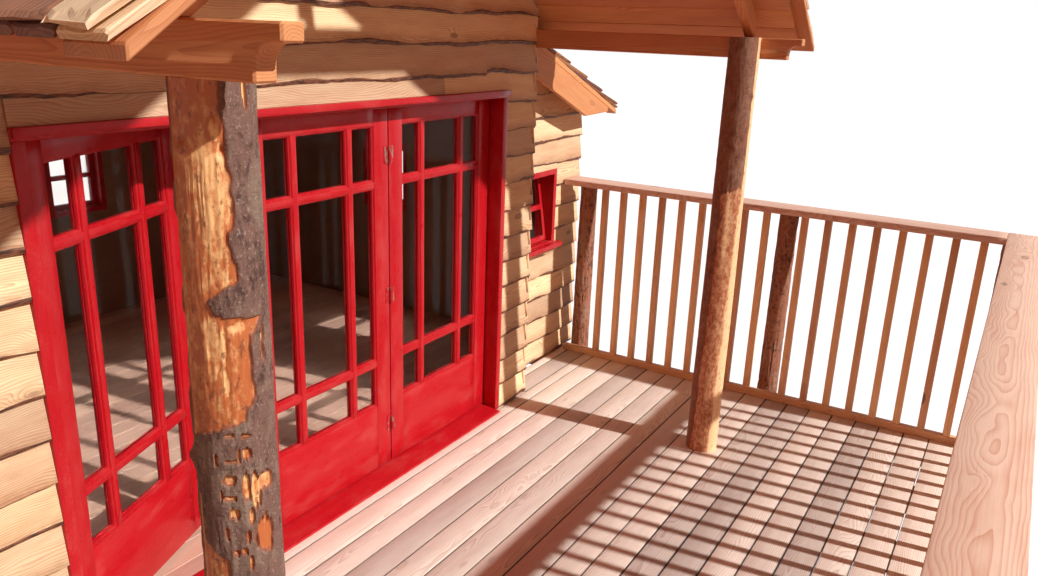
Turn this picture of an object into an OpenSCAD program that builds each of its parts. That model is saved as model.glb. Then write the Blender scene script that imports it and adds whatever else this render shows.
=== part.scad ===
// Tree house: a timber cabin with a gabled porch on a railed deck that stands on log stilts.
// X runs along the front wall, -Y points out over the deck, +Z is up, and Z = 0 is the ground.
// The origin is the middle of the plan at ground level. Lengths are millimetres.

/* [Platform] */
// Height of the walking surface of the deck over the ground
deck_top = 2600; // [1800:10:3600]
// Depth of the deck from the front wall to the outer edge of its boards
deck_depth = 2450; // [2000:10:3000]
// Half the width of the deck boards
deck_half = 2400; // [2300:10:2500]
// Width of one deck board
board_w = 127; // [95:1:145]
// Gap between two deck boards
board_gap = 5; // [3:1:10]
// Thickness of the deck and floor boards
board_t = 28; // [20:1:40]
// Width of a joist
joist_w = 50; // [38:1:75]
// Depth of a joist
joist_h = 145; // [100:5:200]
// Width of a bearer
bearer_w = 100; // [75:5:150]
// Depth of a bearer
bearer_h = 200; // [150:10:260]
// Diameter of a log stilt at the height of the handrail
stilt_d = 110; // [105:5:140]
// Diameter of a log stilt at its foot
stilt_foot_d = 150; // [120:5:160]
// Distance of the middle row of stilts in front of the front wall
mid_row_out = 1240; // [1100:10:1400]
// Distance of the first row of stilts behind the front wall
front_row_in = 80; // [60:5:105]
// Distance of the middle row under the cabin behind the front wall
cabin_row_in = 1750; // [1500:10:2000]
// Distance of an end row of stilts from the edge that it carries
row_inset = 150; // [120:5:250]
// Depth of the notch in a stilt that holds the end of a bearer
notch = 20; // [10:1:30]
// Thickness of the fascia board
fascia_t = 28; // [20:1:36]

/* [Railing] */
// Height of the handrail's top over the deck
rail_top = 1200; // [1000:10:1300]
// Width of the handrail plank
handrail_w = 170; // [140:5:190]
// Thickness of the handrail plank
handrail_t = 38; // [30:1:50]
// Side of a square baluster
baluster = 38; // [30:1:45]
// Distance from one baluster to the next
baluster_pitch = 131; // [110:1:150]
// Distance from a stilt's middle to the baluster beside it
stilt_space = 109; // [100:1:130]
// Height of the bottom rail's underside over the deck
bottom_gap = 6; // [0:1:60]
// Height of the bottom rail
bottom_rail_h = 38; // [30:1:60]

/* [Cabin] */
// Half the width of the tall middle bay
bay_half = 1590; // [1500:10:1700]
// Distance that the cabin's side walls stand out past the deck boards
aisle_out = 150; // [110:5:200]
// Depth of the cabin behind the front wall
cabin_depth = 3400; // [2800:10:4000]
// Distance that the aisle fronts stand back behind the bay front
set_back = 196; // [150:1:300]
// Thickness of a framed wall without its outer boards
wall_t = 100; // [80:1:140]
// Thickness of the lapped outer boards at their lower edge
clad_t = 36; // [28:1:45]
// Height of one course of outer boards
course = 146; // [120:1:200]
// Height of the aisle roof's underside over the deck where it meets the bay
aisle_at_bay = 2036; // [1980:1:2060]
// Clear gap between a wall's top and the roof boards over it
roof_gap = 0.3; // [0.2:0.1:1]

/* [Door] */
// Width of one door leaf
leaf_w = 820; // [700:1:900]
// Width of a door jamb's face
jamb_w = 40; // [30:1:60]
// Height of the door frame's top over the deck
door_top = 1822; // [1750:1:1900]
// Thickness of a door leaf
leaf_t = 44; // [38:1:54]
// Distance that the leaves stand back behind the wall face
leaf_recess = 85; // [40:1:90]
// Width of a leaf's upright stile
stile_w = 105; // [90:1:120]
// Height of a leaf's top rail
top_rail = 85; // [70:1:110]
// Height of the solid bottom rail of a leaf
bottom_rail = 340; // [250:1:400]
// Width of a glazing bar
bar_w = 48; // [30:1:60]
// Width of the two narrow side panes
side_pane = 120; // [90:1:140]
// Height of the top row of panes
top_pane = 229; // [180:1:280]
// Height of the lowest row of panes
low_pane = 186; // [140:1:240]
// Running gap round a leaf
leaf_gap = 7; // [6.8:0.1:9]
// Angle at which the near leaf stands ajar
ajar = 22; // [5:0.5:40]
// Thickness of a glass pane
glass_t = 6; // [4:1:10]
// Height of the threshold
threshold_h = 22; // [15:1:40]

/* [Windows] */
// Outer width of a small window
window_w = 420; // [360:5:520]
// Outer height of a small window
window_h = 510; // [420:5:600]
// Height of a small window's lower edge over the deck
window_sill = 770; // [650:10:900]
// Width of a window frame's face
window_jamb = 35; // [25:1:50]
// Angle at which the far front sash tilts in
hopper = 9; // [4:1:12]

/* [Porch] */
// Distance of the posts' middle plane inside the bay's corner
post_inset = 55; // [50:1:70]
// Distance of the posts in front of the wall
post_out = 1147; // [1000:1:1250]
// Diameter of the near porch post at its foot
near_post_d = 168; // [160:2:190]
// Diameter of the far porch post at its foot
far_post_d = 166; // [160:2:190]
// Diameter of a porch post at its top, as a share of the one at its foot
post_taper = 0.88; // [0.84:0.01:1]
// Height of the eave beam's underside over the deck
beam_under = 2032; // [1980:1:2100]
// Width of an eave beam
beam_w = 50; // [40:1:60]
// Depth of an eave beam
beam_h = 96; // [80:1:140]
// Distance of the beam's middle plane outside the posts' middle plane
beam_shift = 50; // [45:1:60]
// Distance that the beam runs out in front of the wall
beam_out = 1405; // [1300:5:1500]
// Depth of the thinned nose of the beam
nose_h = 32; // [24:1:40]
// Length of the thinned nose of the beam
nose_l = 64; // [60:1:100]
// Height of the square step under the hollow of the nose
nose_step = 25; // [22:1:32]

/* [Roof] */
// Pitch of the main roof
pitch = 35; // [28:0.5:42]
// Pitch of the aisle roofs
aisle_pitch = 21.8; // [15:0.1:26]
// Width of a rafter
rafter_w = 45; // [38:1:75]
// Depth of a rafter square to the slope
rafter_h = 87; // [75:1:120]
// Thickness of the roof boards
roof_board_t = 24; // [18:1:32]
// Thickness of the boards of the truss over the posts
truss_w = 47; // [38:1:70]
// Depth of the collar tie of the truss
collar_h = 150; // [100:5:200]
// Length of the king post between the collar tie and the ridge beam
king_l = 170; // [120:5:260]
// Width of the ridge beam
ridge_w = 75; // [50:5:100]
// Depth of the ridge beam
ridge_h = 190; // [150:5:220]
// Thickness of the battens that lie up the slope on the roof boards
batten_t = 20; // [15:1:30]
// Thickness of the layer of split shakes at the lower end of a course
shake_t = 46; // [36:1:70]
// Thickness of the butt end of one course of shakes
shake_butt = 18; // [10:1:24]
// Length of a course of shakes that shows
shake_course = 250; // [180:5:320]
// Distance that the main roof's boards run out past the middle of the eave beams
eave_out = 198; // [170:1:230]
// Distance that the battens of the main roof run past its boards at the eave
batten_out = 78; // [40:1:90]
// Distance that the roof boards run out in front of the wall
roof_out = 1332; // [1250:1:1380]
// Distance that the verge boards and shakes run past the roof boards
verge_out = 60; // [40:5:120]
// Distance that the roofs run past the back wall
back_out = 250; // [150:10:400]
// Distance that an aisle roof runs past the aisle wall
aisle_eave = 60; // [40:5:120]
// Thickness of the battens of an aisle roof
aisle_batten_t = 30; // [20:1:36]
// Distance that the battens of an aisle roof run past its boards
aisle_batten_out = 130; // [60:5:140]
// Distance that an aisle roof runs out in front of the aisle's wall
aisle_verge = 120; // [80:5:180]
// Height of an aisle bargeboard square to the slope
barge_h = 150; // [110:5:180]
// Thickness of an aisle bargeboard
barge_t = 25; // [18:1:36]

/* [Hidden] */

$fn = 64;
cut = 1;
seat = 0.3;

trim = 100;

// Railings: the handrails lie a little outside the middle of their balusters
rail_inset = baluster / 2 + 4;
handrail_shift = 20;

aisle_half = deck_half + aisle_out;
post_half = bay_half - post_inset;
beam_x = post_half + beam_shift;
eave_half = beam_x + eave_out;
batten_half = eave_half + batten_out;

// Plan: the front wall's plane is placed so that the origin is the middle of the plan.
front_reach = deck_depth - rail_inset + handrail_shift + handrail_w / 2;
back_reach = cabin_depth + back_out + verge_out;
wall_y = (front_reach - back_reach) / 2;
back_y = wall_y + cabin_depth;
core_y = wall_y + clad_t;
aisle_y = wall_y + set_back;

// Stilts: rows along Y, each with a bearer across
deck_rows = [wall_y - deck_depth + bearer_w / 2, wall_y - mid_row_out, wall_y + front_row_in];
cabin_rows = [wall_y + cabin_row_in, back_y - row_inset];
stilt_x = deck_half + fascia_t + stilt_d / 2 - notch;
cabin_stilt_x = aisle_half - row_inset - stilt_d / 2;
bearer_top = deck_top - board_t - joist_h;
fascia_h = board_t + joist_h;
stilt_top = deck_top + rail_top - handrail_t;

joist_count = 9;
cabin_rim = aisle_half - clad_t;
fascia_joint = 1;

// Railings
rail_x = deck_half - rail_inset;
rail_y = wall_y - deck_depth + rail_inset;
handrail_under = deck_top + rail_top - handrail_t;

// Roof planes: heights over the deck at x = 0, and thicknesses measured straight up. The underside of
// a porch rafter meets the top of the eave beam at the beam's middle plane.
slope = tan(pitch);
up = 1 / cos(pitch);
rafter_foot = beam_under + beam_h;
boards_under_0 = rafter_foot + rafter_h * up + beam_x * slope;
boards_top_0 = boards_under_0 + roof_board_t * up;
aisle_slope = tan(aisle_pitch);
aisle_up = 1 / cos(aisle_pitch);
aisle_wall_top = aisle_at_bay - (aisle_half - bay_half) * aisle_slope;
ridge_top = deck_top + boards_under_0 - ridge_w / 2 * slope - seat;
collar_top = ridge_top - ridge_h - king_l;
lintel_under = 1880;
ridge_gap = 2;
shake_over = 8;
shake_back = 10;
verge_board_w = 140;
batten_w = 70;
batten_count = 6;
aisle_batten_count = 4;
aisle_front_y = aisle_y - aisle_verge;

// Door set
door_w = 3 * leaf_w + 4 * leaf_gap + 2 * jamb_w;
opening_half = door_w / 2 - jamb_w;
leaf_bottom = threshold_h + leaf_gap;
leaf_h = door_top - jamb_w - leaf_gap - leaf_bottom;
leaf_y = wall_y + leaf_recess;
wide_pane = leaf_w - 2 * stile_w - 2 * side_pane - 2 * bar_w;
low_bar = bottom_rail + low_pane;
high_bar = leaf_h - top_rail - top_pane - bar_w;
pin_r = 5;
knuckle_r = 9;
knuckle_l = 38;
hinge_x = -opening_half + leaf_gap / 2;
hinge_y = leaf_y + leaf_t + knuckle_r;
pin_clear = 0.1;
knuckle_gap = 0.5;
rebate_w = 10;
rebate_d = 8;
head_strip_h = 28;
head_strip_d = 22;
threshold_nose = 35;
frame_d = leaf_recess + leaf_t;
plate_t = 3;
plate_w = 30;
hinge_heights = [0.12, 0.5, 0.88] * leaf_h;

// Windows: centres along the walls
window_shift = 60;
aisle_window_x = (bay_half + aisle_half) / 2 - window_shift;
side_window_y = (aisle_y + back_y) / 2;
back_window_x = deck_half * 0.355;
sill_h = 30;
sill_d = 45;
sash_w = window_w - 2 * window_jamb - 2 * seat;
sash_h = window_h - 2 * window_jamb - 2 * seat;
sash_bar = 32;
sash_t = 34;
sash_y = 40;

WOOD = "burlywood";
RED = "crimson";
BARK = "sienna";
GLASS = "lightblue";
SHAKE = "tan";

function roof_z(x, base) = deck_top + base - abs(x) * slope;
function aisle_z(x) = deck_top + aisle_wall_top + roof_gap + (aisle_half - abs(x)) * aisle_slope;

module sides() {
    for (side = [-1, 1]) {
        scale_x(side) children();
    }
}

module scale_x(side) {
    if (side > 0) {
        children();
    } else {
        mirror([1, 0, 0]) children();
    }
}

// Extrudes an outline drawn in X and Z from y0 to y1
module along_y(y0, y1) {
    translate([0, y1, 0]) rotate([90, 0, 0]) linear_extrude(y1 - y0) children();
}

// Extrudes an outline drawn in Y and Z from x0 to x1
module along_x(x0, x1) {
    translate([x0, 0, 0]) rotate([90, 0, 90]) linear_extrude(x1 - x0) children();
}

module block(x0, x1, y0, y1, z0, z1) {
    translate([x0, y0, z0]) cube([x1 - x0, y1 - y0, z1 - z0]);
}

// Platform: the stilts are logs that taper evenly from the foot to the handrail
module stilt(x, y, h) {
    top_d = stilt_foot_d + (stilt_d - stilt_foot_d) * h / stilt_top;
    translate([x, y, 0]) cylinder(d1 = stilt_foot_d, d2 = top_d, h = h);
}

module edge_stilts() {
    color(BARK) sides() {
        for (y = deck_rows) {
            difference() {
                stilt(stilt_x, y, stilt_top);
                block(0, stilt_x - stilt_d / 2 + notch, y - bearer_w / 2, y + bearer_w / 2,
                    bearer_top - bearer_h, bearer_top);
                block(0, deck_half + fascia_t, y - stilt_foot_d, y + stilt_foot_d,
                    deck_top - fascia_h, deck_top + cut);
            }
        }
    }
}

module inner_stilts() {
    color(BARK) {
        for (y = deck_rows) {
            stilt(0, y, bearer_top - bearer_h);
        }
        for (y = cabin_rows) {
            for (x = [-cabin_stilt_x, 0, cabin_stilt_x]) {
                stilt(x, y, bearer_top - bearer_h);
            }
        }
    }
}

module bearers() {
    reach = stilt_x - stilt_d / 2 + notch;
    color(WOOD) {
        for (y = deck_rows) {
            block(-reach, reach, y - bearer_w / 2, y + bearer_w / 2, bearer_top - bearer_h, bearer_top);
        }
        for (y = cabin_rows) {
            block(-cabin_rim, cabin_rim, y - bearer_w / 2, y + bearer_w / 2,
                bearer_top - bearer_h, bearer_top);
        }
    }
}

// Joists run from the deck's front edge to a rim joist under the back wall
module joists() {
    span = 2 * (deck_half - joist_w / 2);
    rim_y = back_y - clad_t - joist_w;
    color(WOOD) {
        for (i = [0 : joist_count - 1]) {
            x = -span / 2 + i * span / (joist_count - 1);
            block(x - joist_w / 2, x + joist_w / 2, wall_y - deck_depth, rim_y - seat,
                bearer_top, bearer_top + joist_h);
        }
        sides() block(cabin_rim - joist_w, cabin_rim, aisle_y, rim_y - seat, bearer_top, bearer_top + joist_h);
        block(-cabin_rim, cabin_rim, rim_y, rim_y + joist_w, bearer_top, bearer_top + joist_h);
    }
}

module deck_fascia() {
    front = wall_y - deck_depth;
    color(WOOD) {
        block(-deck_half - fascia_t, deck_half + fascia_t, front - fascia_t, front,
            deck_top - fascia_h, deck_top);
        sides() block(deck_half, deck_half + fascia_t, front + fascia_joint, aisle_y,
            deck_top - fascia_h, deck_top);
    }
}

module deck_boards() {
    pitch_y = board_w + board_gap;
    count = floor(deck_depth / pitch_y);
    color(WOOD) {
        for (i = [0 : count - 1]) {
            y = wall_y - deck_depth + i * pitch_y;
            block(-deck_half, deck_half, y, y + board_w, deck_top - board_t, deck_top);
        }
        y_last = wall_y - deck_depth + count * pitch_y;
        block(-deck_half, deck_half, y_last, wall_y - board_gap, deck_top - board_t, deck_top);
        sides() block(bay_half + board_gap, deck_half, wall_y, wall_y + board_w,
            deck_top - board_t, deck_top);
        sides() block(bay_half + board_gap, deck_half, wall_y + pitch_y, aisle_y - board_gap,
            deck_top - board_t, deck_top);
    }
}

module cabin_floor() {
    color(WOOD) translate([0, 0, deck_top - board_t]) linear_extrude(board_t) union() {
        translate([-bay_half, wall_y]) square([2 * bay_half, set_back + cut]);
        translate([-aisle_half, aisle_y]) square([2 * aisle_half, back_y - aisle_y]);
    }
}

// Railings
module baluster_row(length, places) {
    z0 = deck_top + bottom_gap + bottom_rail_h;
    union() {
        block(0, length, -baluster / 2, baluster / 2, deck_top, z0);
        for (x = places) {
            block(x - baluster / 2, x + baluster / 2, -baluster / 2, baluster / 2, z0 - cut, handrail_under);
        }
    }
}

// Places of the balusters between two stilts, counted from the one at y1 towards the one at y0
function between_stilts(y0, y1) = let (room = abs(y1 - y0) - 2 * stilt_space)
    [for (i = [0 : floor(room / baluster_pitch)]) y1 + sign(y0 - y1) * (stilt_space + i * baluster_pitch)];

// No baluster of a side stands in front of a stilt; they are set out from the middle one both ways
module side_railings() {
    y0 = rail_y + baluster / 2 + seat;
    places = concat(between_stilts(rail_y, deck_rows[1]), between_stilts(deck_rows[2], deck_rows[1]));
    color(WOOD) sides() translate([rail_x, y0, 0]) rotate([0, 0, 90])
        baluster_row(aisle_y - clad_t - y0, [for (y = places) y - y0]);
}

module front_railing() {
    length = 2 * rail_x + baluster;
    count = floor((length - baluster) / baluster_pitch);
    start = (length - count * baluster_pitch) / 2;
    color(WOOD) translate([-rail_x - baluster / 2, rail_y, 0])
        baluster_row(length, [for (i = [0 : count]) start + i * baluster_pitch]);
}

module side_handrails() {
    inner = rail_x + handrail_shift - handrail_w / 2;
    color(WOOD) sides() block(inner, inner + handrail_w, rail_y - handrail_shift + handrail_w / 2,
        aisle_y - board_gap, handrail_under, handrail_under + handrail_t);
}

module front_handrail() {
    outer = rail_x + handrail_shift + handrail_w / 2;
    y = rail_y - handrail_shift;
    color(WOOD) block(-outer, outer, y - handrail_w / 2, y + handrail_w / 2,
        handrail_under, handrail_under + handrail_t);
}

// Cabin walls
module wall_hole(x, y, turned) {
    z = deck_top + window_sill;
    translate([x, y, z + window_h / 2]) rotate([0, 0, turned])
        cube([window_w, 4 * wall_t, window_h], center = true);
}

module bay_walls() {
    inner = door_w / 2;
    color(WOOD) sides() difference() {
        union() {
            block(inner, bay_half - clad_t, core_y, core_y + wall_t, deck_top, roof_top_at(inner));
            block(bay_half - clad_t - wall_t, bay_half - clad_t, core_y, aisle_y + clad_t + wall_t,
                deck_top, roof_top_at(inner));
        }
        above_roof(core_y - cut, aisle_y + clad_t + wall_t + cut);
    }
}

function roof_top_at(x) = roof_z(x, boards_under_0) + trim;

// Everything over the underside of the main roof boards
module above_roof(y0, y1) {
    far = aisle_half + trim;
    high = deck_top + boards_under_0 + 10 * trim;
    along_y(y0, y1) polygon([
        [-far, roof_z(far, boards_under_0 - roof_gap)],
        [0, deck_top + boards_under_0 - roof_gap],
        [far, roof_z(far, boards_under_0 - roof_gap)],
        [far, high],
        [-far, high]
    ]);
}

// The room that the ridge beam takes up in the walls it passes through
module ridge_pocket(y0, y1) {
    block(-ridge_w / 2, ridge_w / 2, y0, y1, ridge_top - ridge_h, ridge_top + wall_t);
}

module front_gable() {
    inner = door_w / 2;
    color(WOOD) difference() {
        block(-inner, inner, core_y, core_y + wall_t, deck_top + door_top, roof_top_at(0));
        above_roof(core_y - cut, core_y + wall_t + cut);
        ridge_pocket(core_y - cut, core_y + wall_t + cut);
    }
}

function aisle_core_z(x) = aisle_z(x) - roof_gap;

// One aisle front: from the bay's side to the outer corner, under the aisle roof
module aisle_fronts() {
    x0 = bay_half - clad_t;
    x1 = aisle_half - clad_t;
    color(WOOD) sides() difference() {
        along_y(aisle_y + clad_t, aisle_y + clad_t + wall_t) polygon([
            [x0, deck_top], [x1, deck_top], [x1, aisle_core_z(x1)], [x0, aisle_core_z(x0)]
        ]);
        wall_hole(aisle_window_x, aisle_y, 0);
    }
}

module side_walls() {
    x1 = aisle_half - clad_t;
    x0 = x1 - wall_t;
    color(WOOD) sides() difference() {
        along_y(aisle_y + clad_t + wall_t, back_y - clad_t - wall_t) polygon([
            [x0, deck_top], [x1, deck_top], [x1, aisle_core_z(x1)], [x0, aisle_core_z(x0)]
        ]);
        wall_hole(x1, side_window_y, 90);
    }
}

module back_outline(inset) {
    w = aisle_half - inset;
    polygon([
        [-w, deck_top], [w, deck_top], [w, aisle_core_z(w)], [bay_half, aisle_core_z(bay_half)],
        [bay_half, roof_z(bay_half, boards_under_0 - roof_gap)],
        [0, deck_top + boards_under_0 - roof_gap],
        [-bay_half, roof_z(bay_half, boards_under_0 - roof_gap)],
        [-bay_half, aisle_core_z(bay_half)], [-w, aisle_core_z(w)]
    ]);
}

module back_wall() {
    color(WOOD) difference() {
        along_y(back_y - clad_t - wall_t, back_y - clad_t) back_outline(clad_t);
        sides() wall_hole(back_window_x, back_y, 0);
        ridge_pocket(back_y - clad_t - wall_t - cut, back_y);
    }
}

// Lapped boards: a saw-tooth section, thick at the lower edge of each course
thin_edge = 0.45 * clad_t;

function lap_count(h) = ceil(h / course);
function lap_points(h) = [
    for (i = [0 : lap_count(h) - 1]) each [
        [clad_t, i * course], [thin_edge, (i + 1) * course]
    ]
];

module lapped_section(h) {
    n = lap_count(h);
    polygon(concat([[0, 0]], lap_points(h), [[0, n * course]]));
}

// A sheet of lapped boards over x0..x1 whose back lies on y = 0 and whose face looks to -Y
module lapped_sheet(x0, x1, h) {
    translate([x0, 0, 0]) rotate([90, 0, 90]) linear_extrude(x1 - x0) mirror([1, 0]) lapped_section(h);
}

module bay_cladding() {
    beam_z = deck_top + beam_under;
    color(WOOD) difference() {
        union() {
            translate([0, core_y, deck_top]) lapped_sheet(-bay_half, bay_half, boards_under_0);
            sides() translate([bay_half - clad_t, 0, deck_top]) rotate([0, 0, 90])
                lapped_sheet(core_y - cut, aisle_y + clad_t, boards_under_0);
        }
        above_roof(wall_y - cut, aisle_y + clad_t + cut);
        block(-door_w / 2, door_w / 2, wall_y - cut, core_y + cut, deck_top - cut, deck_top + door_top);
        sides() block(beam_x - beam_w / 2, bay_half + cut, wall_y - cut, core_y, beam_z, beam_z + beam_h);
        ridge_pocket(wall_y - cut, core_y + cut);
    }
}

module aisle_cladding() {
    x0 = bay_half;
    color(WOOD) sides() difference() {
        translate([0, aisle_y + clad_t, deck_top])
            lapped_sheet(x0, aisle_half, aisle_core_z(x0) - deck_top);
        along_y(aisle_y - cut, aisle_y + clad_t + cut) polygon([
            [x0 - cut, aisle_core_z(x0 - cut)], [aisle_half + cut, aisle_core_z(aisle_half + cut)],
            [aisle_half + cut, aisle_core_z(x0) + course], [x0 - cut, aisle_core_z(x0) + course]
        ]);
        wall_hole(aisle_window_x, aisle_y, 0);
    }
}

module side_cladding() {
    y0 = aisle_y + clad_t;
    y1 = back_y - clad_t;
    color(WOOD) sides() difference() {
        translate([aisle_half - clad_t, 0, deck_top]) rotate([0, 0, 90])
            lapped_sheet(y0, y1, aisle_wall_top);
        block(aisle_half - clad_t - cut, aisle_half + cut, y0 - cut, y1 + cut,
            aisle_core_z(aisle_half), aisle_core_z(aisle_half) + 2 * course);
        wall_hole(aisle_half, side_window_y, 90);
    }
}

module back_cladding() {
    color(WOOD) intersection() {
        difference() {
            translate([0, back_y - clad_t, deck_top]) rotate([0, 0, 180])
                lapped_sheet(-aisle_half, aisle_half, boards_under_0);
            sides() wall_hole(back_window_x, back_y, 0);
            ridge_pocket(back_y - clad_t - cut, back_y + cut);
        }
        along_y(back_y - clad_t, back_y) back_outline(0);
    }
}

// Door set
module door_frame() {
    outer = door_w / 2;
    color(RED) union() {
        difference() {
            block(-outer, outer, wall_y, wall_y + frame_d, deck_top, deck_top + door_top);
            block(-outer + jamb_w, outer - jamb_w, wall_y - cut, wall_y + frame_d + cut,
                deck_top - cut, deck_top + door_top - jamb_w);
        }
        block(-outer, outer, wall_y - head_strip_d, wall_y, deck_top + door_top - head_strip_h,
            deck_top + door_top);
    }
}

module door_threshold() {
    inner = opening_half;
    color(RED) along_x(-inner, inner) polygon([
        [wall_y - threshold_nose, deck_top], [wall_y + frame_d, deck_top],
        [wall_y + frame_d, deck_top + threshold_h],
        [wall_y + leaf_recess, deck_top + threshold_h],
        [wall_y - threshold_nose, deck_top + threshold_h / 2]
    ]);
}

// Places of the glass panes of one leaf, from its lower hinge corner
pane_xs = [stile_w, stile_w + side_pane + bar_w, stile_w + side_pane + 2 * bar_w + wide_pane];
pane_ws = [side_pane, wide_pane, side_pane];
pane_zs = [bottom_rail, low_bar + bar_w, high_bar + bar_w];
pane_hs = [low_pane, high_bar - low_bar - bar_w, top_pane];

// One leaf: lower corner at the origin, face at y = 0, thickness towards +Y
module leaf() {
    difference() {
        cube([leaf_w, leaf_t, leaf_h]);
        for (i = [0 : 2]) {
            for (j = [0 : 2]) {
                translate([pane_xs[i], -cut, pane_zs[j]]) cube([pane_ws[i], leaf_t + 2 * cut, pane_hs[j]]);
                pane_bevel(pane_xs[i], pane_zs[j], pane_ws[i], pane_hs[j]);
            }
        }
    }
}

// The moulded edge of a pane: a stepped rebate on the outer face
module pane_bevel(x, z, w, h) {
    translate([x - rebate_w, -cut, z - rebate_w])
        cube([w + 2 * rebate_w, cut + rebate_d, h + 2 * rebate_w]);
}

module leaf_glass() {
    for (i = [0 : 2]) {
        for (j = [0 : 2]) {
            translate([pane_xs[i], (leaf_t - glass_t) / 2, pane_zs[j]]) cube([pane_ws[i], glass_t, pane_hs[j]]);
        }
    }
}

function leaf_x(i) = -opening_half + leaf_gap + i * (leaf_w + leaf_gap);

module fixed_leaf(i) {
    translate([leaf_x(i), leaf_y, deck_top + leaf_bottom]) children();
}

// The near leaf stands ajar: it is turned inwards about the hinge pins
module ajar_leaf() {
    translate([hinge_x, hinge_y, 0]) rotate([0, 0, ajar]) translate([-hinge_x, -hinge_y, 0])
        fixed_leaf(0) children();
}

module folding_leaf_middle() {
    color(RED) fixed_leaf(1) leaf();
}

module folding_leaf_far() {
    color(RED) fixed_leaf(2) leaf();
}

module folding_glass() {
    color(GLASS) {
        fixed_leaf(1) leaf_glass();
        fixed_leaf(2) leaf_glass();
    }
}

module door_leaf() {
    color(RED) ajar_leaf() leaf();
}

module door_leaf_glass() {
    color(GLASS) ajar_leaf() leaf_glass();
}

// A butt hinge with both plates on one face; its knuckle stands out towards -Y
module butt_hinge() {
    union() {
        translate([0, -knuckle_r, 0]) cylinder(r = knuckle_r, h = 2 * knuckle_l, center = true);
        translate([-plate_w, -plate_t, -knuckle_l]) cube([2 * plate_w, plate_t, 2 * knuckle_l]);
    }
}

// Hinges between the two folding leaves, and inside between the far leaf and its jamb
module folding_hinges() {
    color("gray") for (h = hinge_heights) {
        translate([leaf_x(2) - leaf_gap / 2, leaf_y, deck_top + leaf_bottom + h]) butt_hinge();
        translate([opening_half - leaf_gap / 2, leaf_y + leaf_t, deck_top + leaf_bottom + h])
            rotate([0, 0, 180]) butt_hinge();
    }
}

// The fixed half of each hinge of the near leaf: a plate on the frame, a knuckle and its pin
module hinge_pins() {
    color("gray") for (h = hinge_heights) {
        translate([hinge_x, hinge_y, deck_top + leaf_bottom + h]) union() {
            translate([0, 0, -knuckle_l]) cylinder(r = knuckle_r, h = knuckle_l);
            translate([0, 0, -knuckle_l]) cylinder(r = pin_r, h = 2 * knuckle_l);
            translate([-plate_w, -knuckle_r, -knuckle_l]) cube([plate_w, plate_t, knuckle_l]);
        }
    }
}

// The moving half: a knuckle that turns on the pin and a plate on the leaf's inner face
module hinge_straps() {
    z0 = knuckle_gap;
    color("gray") for (h = hinge_heights) {
        translate([hinge_x, hinge_y, deck_top + leaf_bottom + h]) rotate([0, 0, ajar]) difference() {
            union() {
                translate([0, 0, z0]) cylinder(r = knuckle_r, h = knuckle_l - z0);
                translate([0, -knuckle_r, z0]) cube([plate_w, plate_t, knuckle_l - z0]);
            }
            translate([0, 0, -cut]) cylinder(r = pin_r + pin_clear, h = knuckle_l + 2 * cut);
        }
    }
}

// Small windows: a frame with a sill, a sash with one bar and one pane, facing -Y at the origin
module window_frame() {
    union() {
        difference() {
            translate([-window_w / 2, 0, 0]) cube([window_w, clad_t + wall_t, window_h]);
            translate([-window_w / 2 + window_jamb, -cut, window_jamb])
                cube([window_w - 2 * window_jamb, clad_t + wall_t + 2 * cut, window_h - 2 * window_jamb]);
        }
        translate([-window_w / 2 - sill_h, -sill_d, 0]) cube([window_w + 2 * sill_h, sill_d, sill_h]);
    }
}

module window_sash() {
    pane = sash_w - 2 * sash_bar;
    difference() {
        translate([-sash_w / 2, 0, 0]) cube([sash_w, sash_t, sash_h]);
        translate([-pane / 2, -cut, sash_bar]) cube([pane, sash_t + 2 * cut, sash_h / 2 - 1.5 * sash_bar]);
        translate([-pane / 2, -cut, sash_h / 2 + sash_bar / 2])
            cube([pane, sash_t + 2 * cut, sash_h / 2 - 1.5 * sash_bar]);
    }
}

module sash_glass() {
    pane = sash_w - 2 * sash_bar;
    for (z = [sash_bar, sash_h / 2 + sash_bar / 2]) {
        translate([-pane / 2, (sash_t - glass_t) / 2, z]) cube([pane, glass_t, sash_h / 2 - 1.5 * sash_bar]);
    }
}

module at_windows() {
    z = deck_top + window_sill;
    translate([aisle_window_x, aisle_y, z]) children(1);
    translate([-aisle_window_x, aisle_y, z]) children(0);
    for (x = [-back_window_x, back_window_x]) {
        translate([x, back_y, z]) rotate([0, 0, 180]) children(0);
    }
    translate([aisle_half, side_window_y, z]) rotate([0, 0, 90]) children(0);
    translate([-aisle_half, side_window_y, z]) rotate([0, 0, -90]) children(0);
}

// A sash tilts in about its lower inner edge
module in_frame(tilt) {
    translate([0, sash_y + sash_t, window_jamb + seat]) rotate([-tilt, 0, 0]) translate([0, -sash_t, 0])
        children();
}

module window_frames() {
    color(RED) at_windows() {
        window_frame();
        window_frame();
    }
}

module window_sashes() {
    color(RED) at_windows() {
        in_frame(0) window_sash();
        in_frame(hopper) window_sash();
    }
}

module window_glass() {
    color(GLASS) at_windows() {
        in_frame(0) sash_glass();
        in_frame(hopper) sash_glass();
    }
}

// Porch: a tapered log that runs up beside the eave beam, which lies in a notch in its outer side
module porch_post(foot) {
    difference() {
        translate([post_half, wall_y - post_out, deck_top])
            cylinder(d1 = foot, d2 = foot * post_taper, h = beam_under + beam_h);
        block(beam_x - beam_w / 2, post_half + foot, wall_y - post_out - foot, wall_y - post_out + foot,
            deck_top + beam_under, deck_top + beam_under + beam_h + cut);
    }
}

module porch_posts() {
    color(BARK) {
        scale_x(-1) porch_post(near_post_d);
        porch_post(far_post_d);
    }
}

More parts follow.
